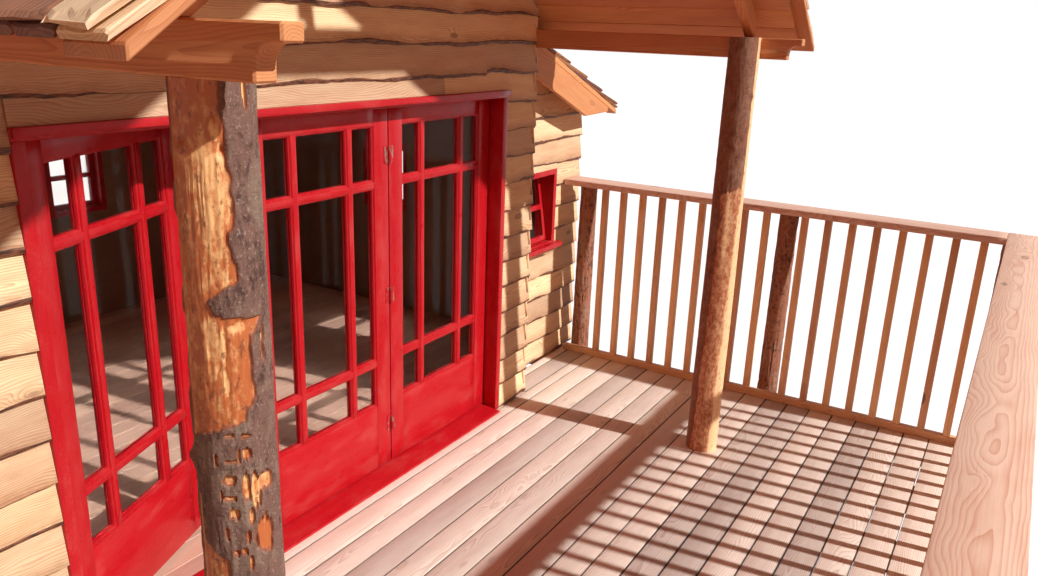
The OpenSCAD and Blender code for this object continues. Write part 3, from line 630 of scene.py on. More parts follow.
@cache
def bark_skin() -> bpy.types.NodeTree:
    """Bark and what lies under it: grey plates and dark cracks, and peeled wood where the mask is low.

    Returns:
        The group, the same one at every call.
    """
    g, given = new_group("bark_skin", {
        "Grain": (0, 0, 0), "Tone": 0.5, "Mask": 1.0, "Plate": (0.3, 0.24, 0.22, 1),
        "Crack": (0.08, 0.04, 0.03, 1), "Wood": (0.8, 0.45, 0.2, 1), "Cambium": (0.45, 0.13, 0.05, 1),
        "Chips": 1.0})
    place, mask = given["Grain"], given["Mask"]
    broad = g.noise(place, (5.0, 9.0, 9.0), 4.0, 0.6)
    fine = g.noise(place, (150.0, 190.0, 190.0), 3.0, 0.65)
    crack = g.noise(place, (34.0, 60.0, 60.0), 5.0, 0.66)
    bark = g.blend(g.span(g.plus(crack, g.times(broad, 0.35)), 0.50, 0.72), given["Crack"], given["Plate"])
    lichen = g.times(g.span(g.noise(place, (8.0, 12.0, 12.0), 5.0, 0.7), 0.50, 0.64), 0.40)
    bark = g.blend(lichen, bark, (0.38, 0.29, 0.21))
    band = g.noise(place, (210.0, 26.0, 26.0), 2.0, 0.5)
    bark = g.blend(g.times(g.span(band, 0.55, 0.70), 0.35), bark, (0.055, 0.028, 0.024))
    bark = g.blend(g.times(g.span(fine, 0.57, 0.66), 0.38), bark, (0.60, 0.46, 0.38))
    streak = g.noise(place, (5.0, 46.0, 46.0), 4.0, 0.6)
    chip = g.noise(place, (38.0, 62.0, 62.0), 5.0, 0.65)
    grainy = g.math("SUBTRACT", g.plus(g.times(streak, 0.25), g.times(chip, 0.75)), 0.5)
    fresh = g.plus(given["Tone"], g.times(g.times(grainy, 4.2), given["Chips"]))
    half_bare = g.blend(0.5, given["Cambium"], given["Wood"])
    wood = g.blend(g.span(fresh, 0.1, 0.55), given["Cambium"], half_bare)
    wood = g.blend(g.span(fresh, 0.5, 0.85), wood, given["Wood"])
    torn = g.times(g.span(g.noise(place, (34.0, 62.0, 62.0), 5.0, 0.65), 0.575, 0.64), given["Chips"])
    wood = g.blend(g.times(torn, 0.75), wood, (0.24, 0.06, 0.022))
    rim = g.times(g.span(mask, 0.02, 0.35), g.span(mask, 0.98, 0.6))
    skin = g.blend(g.times(rim, 0.8), g.blend(mask, wood, bark), (0.25, 0.065, 0.028))
    tint = g.fill(g.node("ShaderNodeHueSaturation"), Color=skin,
                  Value=g.plus(0.9, g.times(given["Tone"], 0.2)))
    g.fill(g.node("NodeGroupOutput"), Color=tint.outputs[0], Roughness=g.span(mask, 0.0, 1.0, 0.5, 0.85),
           Height=g.blend(mask, g.plus(g.times(streak, 0.5), g.times(chip, 0.4)),
                          g.plus(g.times(crack, 0.9), g.times(fine, 0.5))))
    return g.tree


@cache
def brushed_paint() -> bpy.types.NodeTree:
    """Gloss paint brushed on timber: faint brush lines, thin places and dust in the hollows.

    Returns:
        The group, the same one at every call.
    """
    g, given = new_group("brushed_paint", {"Grain": (0, 0, 0), "Paint": (0.6, 0.02, 0.05, 1), "Dust": 0.3})
    place = given["Grain"]
    brush = g.noise(place, (7.0, 420.0, 420.0), 2.0, 0.5)
    cloud = g.noise(place, (5.0, 12.0, 12.0), 3.0)
    speck = g.noise(place, (160.0, 160.0, 160.0), 2.0)
    tint = g.fill(g.node("ShaderNodeHueSaturation"), Color=given["Paint"],
                  Value=g.plus(0.90, g.times(cloud, 0.2)), Saturation=g.plus(0.97, g.times(brush, 0.05)))
    dust = g.times(g.span(g.plus(cloud, g.times(speck, 0.5)), 0.72, 1.0), given["Dust"])
    g.fill(g.node("NodeGroupOutput"), Color=g.blend(dust, tint.outputs[0], (0.55, 0.33, 0.27)),
           Roughness=g.plus(g.span(cloud, 0.3, 0.7, 0.25, 0.40), g.times(dust, 0.35)),
           Height=g.plus(g.times(brush, 0.6), g.times(speck, 0.2)))
    return g.tree


# Finishes


@dataclass(frozen=True)
class Finish:
    """A finish that makes its material once and then keeps it; slot is the record's material slot."""

    name: str
    slot: str = ""

    def material(self) -> bpy.types.Material:
        """The finish's material."""
        return bpy.data.materials.get(self.name) or self.make()

    def make(self) -> bpy.types.Material:
        """Makes the material."""
        raise NotImplementedError

    def shell(self) -> tuple[bpy.types.Material, Graph, bpy.types.Node]:
        """An empty material.

        Returns:
            The material, its graph and its shader.
        """
        material = bpy.data.materials.new(self.name)
        material.use_nodes = True
        return material, Graph(material.node_tree), material.node_tree.nodes["Principled BSDF"]


def relief(g: Graph, shader: bpy.types.Node, height: Socket, strength: float, depth: float) -> None:
    """Turns a height into the shader's normal."""
    bump = g.fill(g.node("ShaderNodeBump"), Strength=strength, Distance=depth, Height=height)
    g.feed(shader.inputs["Normal"], bump.outputs[0])


class Reads(Enum):
    """Where a timber finish takes its place in the timber from."""

    OWN_GRAIN = "grain"
    ALONG_X = "along_x"


@dataclass(frozen=True)
class TimberFinish(Finish):
    """Bare timber."""

    pale: Colour = PALE
    deep: Colour = PALE
    rings: float = 0.55
    knots: float = 0.6
    grey: float = 0.0
    rough: float = 0.6
    variation: float = 0.5
    bump: float = 0.35
    reads: Reads = Reads.OWN_GRAIN
    # How dark the marked sides go: dirt, and painted shade in the gaps.
    bark: bool = False
    dirt_and_gap_shade: float = 0.0

    def make(self) -> bpy.types.Material:
        """Puts the figure on the piece's own grain or on its Object coordinates, with bark where marked.

        Returns:
            The material.
        """
        material, g, shader = self.shell()
        figure = g.fill(g.node("ShaderNodeGroup", node_tree=timber_figure()), Pale=self.pale, Deep=self.deep,
                        Rings=self.rings, Knots=self.knots, Grey=self.grey, Rough=self.rough,
                        Variation=self.variation)
        if self.reads is Reads.OWN_GRAIN:
            g.fill(figure, Grain=g.mark("grain"), Tone=g.mark("tone"))
        else:
            turn = g.fill(g.node("ShaderNodeMapping"), Vector=g.own_place(), Location=(3.7, 0.06, 0.04))
            g.fill(figure, Grain=turn.outputs[0])
        colour, height = figure.outputs["Color"], figure.outputs["Height"]
        if self.bark:
            mask = g.mark("mask")
            flake = g.noise(g.mark("grain"), (30.0, 90.0, 90.0), 4.0, 0.65)
            strip = g.blend(g.span(flake, 0.35, 0.65), (0.045, 0.016, 0.008), (0.26, 0.095, 0.045))
            stain = g.times(g.span(mask, 0.0, 0.6), g.span(flake, 0.25, 0.6, 0.3, 0.85))
            colour = g.blend(stain, colour, tuple(0.6 * value for value in self.deep))
            edge = g.span(g.plus(mask, g.around(flake, 0.5, 0.5)), 0.42, 0.58)
            colour = g.blend(edge, colour, strip)
            height = g.plus(height, g.times(g.times(edge, flake), 2.0))
        # Darkens the marked sides of the boards almost to black: dirt, and painted shade in the gaps between
        # them.
        if self.dirt_and_gap_shade:
            colour = g.blend(g.times(g.mark("mask"), self.dirt_and_gap_shade), colour, (0.05, 0.022, 0.015))
        g.fill(shader, Base_Color=colour, Roughness=figure.outputs["Roughness"])
        relief(g, shader, height, self.bump, 0.002)
        return material


@dataclass(frozen=True)
class LogFinish(Finish):
    """A log in its bark, or part peeled."""

    plate: Colour = PALE
    crack: Colour = PALE
    wood: Colour = PALE
    cambium: Colour = PALE
    chips: float = 1.0
    bump: float = 0.6

    def make(self) -> bpy.types.Material:
        """Puts the bark on the log's own grain, with the mask between bark and peeled wood.

        Returns:
            The material.
        """
        material, g, shader = self.shell()
        skin = g.fill(g.node("ShaderNodeGroup", node_tree=bark_skin()), Grain=g.mark("grain"),
                      Tone=g.mark("tone"), Mask=g.mark("mask"), Plate=self.plate, Crack=self.crack,
                      Wood=self.wood, Cambium=self.cambium, Chips=self.chips).outputs
        g.fill(shader, Base_Color=skin["Color"], Roughness=skin["Roughness"])
        relief(g, shader, skin["Height"], self.bump, 0.004)
        return material


@dataclass(frozen=True)
class PaintFinish(Finish):
    """Gloss paint, worn down to the metal on hinges."""

    paint: Colour = PALE
    dust: float = 0.3
    worn: float = 0.0

    def make(self) -> bpy.types.Material:
        """Puts the paint on the piece's own grain, or on Object coordinates where it is worn.

        Returns:
            The material.
        """
        material, g, shader = self.shell()
        place = g.own_place() if self.worn else g.mark("grain")
        coat = g.fill(g.node("ShaderNodeGroup", node_tree=brushed_paint()), Grain=place, Paint=self.paint,
                      Dust=self.dust).outputs
        colour = coat["Color"]
        if self.worn:
            bare = g.times(g.span(g.noise(place, (70.0, 70.0, 30.0), 3.0), 0.52, 0.60), self.worn)
            colour = g.blend(bare, colour, (0.40, 0.27, 0.22))
            g.fill(shader, Metallic=g.times(bare, 0.5))
        g.fill(shader, Base_Color=colour, Roughness=coat["Roughness"], Specular_IOR_Level=0.22,
               Coat_Weight=0.10, Coat_Roughness=0.12)
        relief(g, shader, coat["Height"], 0.12, 0.001)
        return material


@dataclass(frozen=True)
class GlassFinish(Finish):
    """Clear window glass with a little dust, which lets the lamp's light through to the room."""

    clear: float = 0.93

    def make(self) -> bpy.types.Material:
        """Glass whose dust is noise on Object coordinates, and which only the lamp's shadow rays pass.

        Returns:
            The material.
        """
        material, g, shader = self.shell()
        cloud = g.noise(g.own_place(), 3.0, 4.0)
        shaded = g.node("ShaderNodeLightPath").outputs["Is Shadow Ray"]
        g.fill(shader, Roughness=g.span(cloud, 0.45, 0.75, 0.01, 0.06), Transmission_Weight=1.0, IOR=1.10,
               Base_Color=g.blend(g.span(cloud, 0.4, 0.8), (0.96, 0.96, 0.95), (0.88, 0.87, 0.85)),
               Alpha=g.math("SUBTRACT", 1.0, g.times(shaded, self.clear)), Specular_IOR_Level=0.3)
        return material


@dataclass(frozen=True)
class SteelFinish(Finish):
    """Dull plated steel with scratches."""

    def make(self) -> bpy.types.Material:
        """Metal whose scratches and rust stains are noise on Object coordinates.

        Returns:
            The material.
        """
        material, g, shader = self.shell()
        place = g.own_place()
        scratch = g.noise(place, (500.0, 500.0, 40.0), 3.0)
        stain = g.span(g.noise(place, 60.0, 4.0), 0.52, 0.68)
        g.fill(shader, Base_Color=g.blend(stain, (0.52, 0.50, 0.47), (0.30, 0.17, 0.10)),
               Roughness=g.span(scratch, 0.3, 0.7, 0.28, 0.5),
               Metallic=g.math("SUBTRACT", 0.95, g.times(stain, 0.6)))
        relief(g, shader, scratch, 0.2, 0.0005)
        return material


WANEY = TimberFinish("waney_board_fir", "waney_boards", (0.90, 0.66, 0.40), (0.50, 0.165, 0.055),
                     rings=0.6, knots=0.75, rough=0.66, variation=1.0, bump=0.55, bark=True)
BEAM = TimberFinish("sawn_beam_fir", "beam_timber", (0.74, 0.32, 0.13), (0.46, 0.135, 0.042),
                    rings=0.6, knots=0.4, rough=0.62)
RAIL = TimberFinish("planed_rail_fir", "rail_timber", (0.90, 0.62, 0.48), (0.62, 0.25, 0.15),
                    rings=0.6, knots=0.7, rough=0.58, bump=0.3)
SPINDLE = TimberFinish("sawn_baluster_fir", "rail_timber", (0.88, 0.53, 0.29), (0.58, 0.26, 0.12),
                       rings=0.5, knots=1.0, rough=0.62, variation=0.6, bump=0.3)
# The deck's dark board sides are partly dirt and partly painted shade in the gaps.
DECK = TimberFinish("weathered_deck_fir", "deck_timber", (0.90, 0.75, 0.65), (0.52, 0.32, 0.24),
                    rings=0.6, knots=0.25, grey=0.15, rough=0.68, variation=0.9, bump=0.5, dirt_and_gap_shade=0.9)
FLOOR = TimberFinish("planed_floor_fir", "floor_timber", (0.80, 0.51, 0.385), (0.46, 0.235, 0.16),
                     rings=0.5, knots=0.4, grey=0.05, rough=0.5, bump=0.25)
FRAMING = TimberFinish("sawn_frame_fir", "frame_timber", (0.74, 0.42, 0.22), (0.46, 0.20, 0.085),
                       rings=0.5, knots=0.4, rough=0.68, bump=0.4)
# Darker than the fir itself: the colour paints in the shade inside the cabin.
SHADE_DARKENED_LINING = TimberFinish("wall_lining_fir_painted_shade", "", (0.26, 0.125, 0.065), (0.17, 0.066, 0.03),
                      rings=0.5, knots=0.4, rough=0.66, variation=0.3, reads=Reads.ALONG_X)
# Darker than weathered larch itself: this colour also paints in shade over the shakes.
SHADE_DARKENED_SHAKE = TimberFinish("split_shake_larch_painted_shade", "split_shakes", (0.38, 0.15, 0.072), (0.10, 0.033, 0.016),
                     rings=0.8, knots=0.1, grey=0.03, rough=0.75, variation=1.4, bump=1.0)
# Paler than the other shakes: fresh split wood, and partly painted sunlight on the verge shakes' ends.
VERGE = TimberFinish("split_verge_larch_painted_sun", "split_shakes", (0.88, 0.66, 0.44), (0.58, 0.30, 0.15),
                     rings=0.7, knots=0.2, rough=0.75, variation=0.8, bump=0.8)
BARK = LogFinish("stilt_bark", "bark_log", plate=(0.40, 0.16, 0.085), crack=(0.115, 0.034, 0.018),
                 wood=(0.62, 0.28, 0.13), cambium=(0.36, 0.11, 0.05), chips=0.6, bump=0.8)
NEAR_POST = LogFinish("near_post_part_peeled", "peeled_log", plate=(0.210, 0.110, 0.082),
                      crack=(0.070, 0.030, 0.022), wood=(0.92, 0.53, 0.23), cambium=(0.58, 0.160, 0.045),
                      bump=0.9)
FAR_POST = LogFinish("far_post_peeled", "peeled_log", plate=(0.24, 0.105, 0.062),
                     crack=(0.075, 0.028, 0.017), wood=(0.95, 0.60, 0.32), cambium=(0.46, 0.125, 0.045),
                     chips=0.6, bump=0.5)
RED = PaintFinish("crimson_gloss", "red_paint", (0.50, 0.006, 0.0125), dust=0.10)
HINGE_RED = PaintFinish("crimson_on_steel_worn", "", (0.46, 0.007, 0.015), dust=0.25, worn=0.9)
GLASS = GlassFinish("window_glass_clear")
STEEL = SteelFinish("hinge_steel_dull")


# The plan


@dataclass(frozen=True)
class Plan:
    """Places that the sub-assemblies share, in metres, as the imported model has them."""

    wall_y: float = -0.589
    deck_top: float = 2.6
    deck_half: float = 2.4
    deck_depth: float = 2.45
    bay_half: float = 1.59
    aisle_half: float = 2.55
    set_back: float = 0.196
    cabin_depth: float = 3.4
    clad: float = 0.036
    course: float = 0.146
    slope: float = math.tan(math.radians(35))
    under: float = 3.344
    aisle_slope: float = math.tan(math.radians(21.8))
    aisle_at_bay: float = 2.036
    door_half: float = 1.284
    door_top: float = 1.822
    mid_row: float = 1.24
    wall_row: float = 0.08
    under_roof: float = 0.004
    window_half: float = 0.21
    window_low: float = 0.77
    window_high: float = 1.28

    @property
    def aisle_y(self) -> float:
        """Face of the aisle fronts."""
        return self.wall_y + self.set_back

    @property
    def back_y(self) -> float:
        """Face of the back wall."""
        return self.wall_y + self.cabin_depth

    def gable(self, height: Array) -> Array:
        """Half the bay's width at a height over the deck, under the main roof."""
        return np.minimum(self.bay_half, (self.under - self.under_roof - height) / self.slope)

    def aisle(self, height: Array) -> Array:
        """Distance from the middle to an aisle's outer face, or to its roof, at a height over the deck."""
        roof = self.bay_half + (self.aisle_at_bay - self.under_roof - height) / self.aisle_slope
        return np.minimum(self.aisle_half, roof)

    def window(self, middle: float) -> tuple[float, float, float, float]:
        """Edges of a small window's opening: from, to, low and high."""
        return middle - self.window_half, middle + self.window_half, self.window_low, self.window_high


PLAN = Plan()


# Logs and platform


@dataclass
class LogStack:
    """Logs that stand upright: a circle whose radius changes with the angle and the height."""

    around: int
    rows: int
    crack: float = 0.005

    def logs(self, shape: Shape, feet: Points, high: float, foot: float, tip: float, seed: int) -> None:
        """Adds bark logs that stand on the ground, with plates of bark between upright cracks.

        The radius falls evenly from half the foot's width to half the top's, less a slow noise of the angle
        and the height, and less the depth of a crack where a noise stretched along the log is near zero.

        Args:
            shape: takes the logs.
            feet: (x, y) of each log.
            high: height of the tops.
            foot: diameter at the foot.
            tip: diameter at the top.
            seed: chooses the bark.
        """
        feet = np.array(feet, float)
        bars = len(feet)
        rng = np.random.default_rng(seed)
        own = (np.arange(bars) * 9.7 + seed * 3.1)[:, None, None]
        height = np.linspace(0.0, high, self.rows)[None, :, None]
        angle = np.linspace(0, 2 * np.pi, self.around, endpoint=False)
        height, angle, own = np.broadcast_arrays(height, angle, own)
        unit = np.stack([np.cos(angle), np.sin(angle)], -1)
        slow, fast, fine = (on_log(unit, height, across, along, own[..., None])
                            for across, along in ((0.9, 1.1), (5.5, 5.0), (13.0, 22.0)))
        ridge = 1.0 - np.abs(fractal(fast, seed, 3)) * 2.2
        full = (foot + (tip - foot) * height / high) / 2
        radius = full * (0.985 + 0.035 * fractal(slow, seed + 5, 2))
        radius = radius - self.crack * smooth(ridge, 0.55, 1.0) + 0.0020 * lattice(fine, seed + 9)
        radius = np.minimum(radius, full)
        bend = 0.006 * np.sin(np.pi * height / high) * rng.uniform(-1, 1, (bars, 1, 1))
        x, y = radius * unit[..., 0], radius * unit[..., 1]
        points = xyz(feet[:, 0, None, None] + x + bend * 0.5, feet[:, 1, None, None] + y + bend, height)
        shape.add_bars(points, xyz(height, x, y) + own[..., None], rng.uniform(0.2, 0.8, bars), 1.0)


@dataclass
class Platform:
    """Stilts, bearers, joists, fascia, deck boards and the cabin's floor boards."""

    foot: float = 0.150
    tip: float = 0.110
    stilt_top: float = 3.762
    edge_x: float = 2.463
    rows: tuple[float, ...] = (PLAN.wall_y - 2.40, PLAN.wall_y - PLAN.mid_row, PLAN.wall_y + PLAN.wall_row)
    cabin_rows: tuple[float, ...] = (PLAN.wall_y + 1.75, PLAN.back_y - 0.15)
    cabin_x: float = 2.345
    board: float = 0.127
    pitch: float = 0.132
    thick: float = 0.028
    joist: float = 0.145
    bearer: float = 0.2
    wall_gap: float = 0.005
    floor_board: float = 0.1212
    floor_pitch: float = 0.1222
    floor_gap: float = 0.001

    def build(self) -> None:
        """Builds the pieces."""
        self.stilts()
        soften("bearers", FRAMING, 0.004, 11)
        soften("joists", FRAMING, 0.003, 12)
        soften("deck_fascia", RAIL, 0.003, 13)
        self.decking()
        self.floor()

    def stilts(self) -> None:
        """Bark logs at the deck's edge, up to the handrail, and shorter ones under the bearers."""
        bearer_under = PLAN.deck_top - self.thick - self.joist - self.bearer
        edge = Shape()
        LogStack(44, 150).logs(edge, [(side * self.edge_x, y) for side in (-1, 1) for y in self.rows],
                               self.stilt_top, self.foot, self.tip, 21)
        edge.build("edge_stilt_logs", BARK, "edge_stilts")
        inner = Shape()
        feet = [(0.0, y) for y in self.rows] + [(x, y) for y in self.cabin_rows
                                                for x in (-self.cabin_x, 0.0, self.cabin_x)]
        tip = self.foot + (self.tip - self.foot) * bearer_under / self.stilt_top
        LogStack(36, 80).logs(inner, feet, bearer_under, self.foot, tip, 31)
        inner.build("inner_stilt_logs", BARK, "inner_stilts")

    def decking(self) -> None:
        """Deck boards side by side, each a rounded plank with a slight wander, with dirt and painted shade on
        their sides in the gaps.
        """
        front = PLAN.wall_y - PLAN.deck_depth
        count = int(PLAN.deck_depth / self.pitch)
        rows = [(-PLAN.deck_half, PLAN.deck_half, front + i * self.pitch, self.board) for i in range(count)]
        last = front + count * self.pitch
        rows.append((-PLAN.deck_half, PLAN.deck_half, last, PLAN.wall_y - self.wall_gap - last))
        for side in (-1, 1):
            ends = sorted((side * (PLAN.bay_half + self.wall_gap), side * PLAN.deck_half))
            rows.append((*ends, PLAN.wall_y, self.board))
            left = PLAN.aisle_y - self.wall_gap - PLAN.wall_y - self.pitch
            rows.append((*ends, PLAN.wall_y + self.pitch, left))
        first, last, low, wide = np.array(rows).T
        centre = low + wide / 2
        rise = np.random.default_rng(5).uniform(-0.0012, 0.0, len(rows)) + (PLAN.deck_top - self.thick / 2)
        rings, grain, tone = Timber(0.004, 0.0012, 60, 3).bars(
            xyz(first, centre, rise), xyz(last, centre, rise), Y_WAY, wide, self.thick, 41)
        aside = np.abs(rings[..., 1] - centre[:, None, None]) - wide[:, None, None] / 2
        under = PLAN.deck_top - rings[..., 2]
        shape = Shape()
        # The mask marks each board's sides below its top, which the finish darkens: dirt and painted shade in
        # the gaps.
        shape.add_bars(rings, grain, tone, smooth(under, 0.0008, 0.0035) * smooth(aside, -0.006, -0.003))
        shape.build("deck_planks", DECK, "deck_boards")

    def floor(self) -> None:
        """Cabin floor boards, cut short where the bay's front stands forward."""
        gap = self.floor_gap
        count = int((PLAN.cabin_depth - 2 * gap) / self.floor_pitch)
        low = PLAN.wall_y + gap + np.arange(count + 1) * self.floor_pitch
        high = np.minimum(low + self.floor_board, PLAN.back_y - gap)
        half = np.where(low < PLAN.aisle_y - 0.02, PLAN.bay_half, PLAN.aisle_half) - gap
        keep = high - low > 0.01
        low, high, half = low[keep], high[keep], half[keep]
        middle, height = (low + high) / 2, PLAN.deck_top - self.thick / 2
        shape = Shape()
        shape.add_timber(Timber(0.002, 0.0003, 16, 2), xyz(-half, middle, height), xyz(half, middle, height),
                         Y_WAY, high - low, self.thick, 42)
        shape.build("cabin_floor_planks", FLOOR, "cabin_floor")


# Railing


@dataclass
class Railing:
    """Balusters between a bottom rail and a plank handrail, on three sides."""

    rail_x: float = 2.377
    rail_y: float = PLAN.wall_y - 2.427
    shift: float = 0.02
    side: float = 0.038
    pitch: float = 0.131
    stilt_space: float = 0.109
    low: float = 2.6
    bottom: float = 0.044
    under: float = 3.762
    plank: float = 0.17
    plank_t: float = 0.038
    clear: float = 0.0003
    plank_gap: float = 0.0008
    wall_gap: float = 0.005

    def side_places(self) -> Array:
        """Places of a side's balusters along Y: from the middle stilt both ways, and none before a stilt.

        Returns:
            The places.
        """
        middle = PLAN.wall_y - PLAN.mid_row
        places = []
        for end in (self.rail_y, PLAN.wall_y + PLAN.wall_row):
            count = int((abs(end - middle) - 2 * self.stilt_space) / self.pitch) + 1
            places.append(middle + np.sign(end - middle) * (self.stilt_space + np.arange(count) * self.pitch))
        return np.concatenate(places)

    def row(self, shape: Shape, start: Points, way: Array, length: float, places: Array, seed: int) -> None:
        """Adds one row of balusters with its bottom rail.

        Args:
            shape: takes the row.
            start: the row's first end at deck height.
            way: unit direction of the row.
            length: its length.
            places: distance of each baluster from the start.
            seed: chooses grain and wander.
        """
        spots = start + places[:, None] * way
        feet, tops = spots.copy(), spots.copy()
        feet[:, 2], tops[:, 2] = self.low + self.bottom, self.under
        shape.add_timber(Timber(0.0035, 0.0018, 9, 2), feet, tops, way, self.side, self.side, seed)
        ends = np.stack([start, start + way * length])
        ends[:, 2] = self.low + self.bottom / 2
        shape.add_timber(Timber(0.003, 0.0008, 20, 2), ends[:1], ends[1:], np.cross(Z_WAY, way), self.side,
                         self.bottom, seed + 1)

    def build(self) -> None:
        """Builds the rows and the handrails."""
        low = self.rail_y + self.side / 2 + self.clear
        sides, front = Shape(), Shape()
        for side, seed in ((-1, 51), (1, 61)):
            self.row(sides, (side * self.rail_x, low, self.low), Y_WAY, PLAN.aisle_y - PLAN.clad - low,
                     self.side_places() - low, seed)
        sides.build("side_baluster_rows", SPINDLE, "side_railings")
        length = 2 * self.rail_x + self.side
        count = int((length - self.side) / self.pitch)
        places = (length - count * self.pitch) / 2 + np.arange(count + 1) * self.pitch
        self.row(front, (-self.rail_x - self.side / 2, self.rail_y, self.low), X_WAY, length, places, 71)
        front.build("front_baluster_row", SPINDLE, "front_railing")
        self.handrails()

    def handrails(self) -> None:
        """The plank handrails: wide rounded boards with open grain."""
        z = self.under + self.plank_t / 2
        x = self.rail_x + self.shift
        y = self.rail_y - self.shift
        first, last = y + self.plank / 2 + self.plank_gap, PLAN.aisle_y - self.wall_gap
        outer = x + self.plank / 2
        sides, front = Shape(), Shape()
        sides.add_timber(Timber(0.005, 0.001, 60, 3), [(-x, first, z), (x, first, z)],
                         [(-x, last, z), (x, last, z)], X_WAY, self.plank, self.plank_t, 81)
        sides.build("side_handrail_planks", RAIL, "side_handrails")
        front.add_timber(Timber(0.005, 0.001, 110, 3), (-outer, y, z), (outer, y, z), Y_WAY, self.plank,
                         self.plank_t, 207)
        front.build("front_handrail_plank", RAIL, "front_handrail")


# Waney boards


Place = Callable[[Array, Array, Array], Array]
Reach = Callable[[Array], tuple[Array, Array]]


def wide_wall(face: float, outward: int, side: int = 1) -> Place:
    """Places on a wall that runs along X: along it to a side, out from its face, and over the deck."""
    return lambda along, out, z: xyz(side * along, face + outward * out, PLAN.deck_top + z)


def deep_wall(face: float, side: int, start: float = 0.0) -> Place:
    """Places on a wall that runs along Y from a start, on one side of the middle."""
    return lambda along, out, z: xyz(side * (face + out), start + along, PLAN.deck_top + z)


def between(first: float, last: float) -> Reach:
    """A reach that is the same at every height."""
    return lambda z: (0 * z + first, 0 * z + last)


def both_ways(half: Callable[[Array], Array]) -> Reach:
    """A reach as far to the left as to the right."""
    return lambda z: (-half(z), half(z))


@dataclass
class Panel:
    """One face of waney boards: where it stands and how far each course may reach."""

    place: Place
    reach: Reach
    top: float
    bottom: float = 0.0
    holes: tuple[tuple[float, float, float, float], ...] = ()
    joints: tuple[float, float] = (1.2, 2.8)


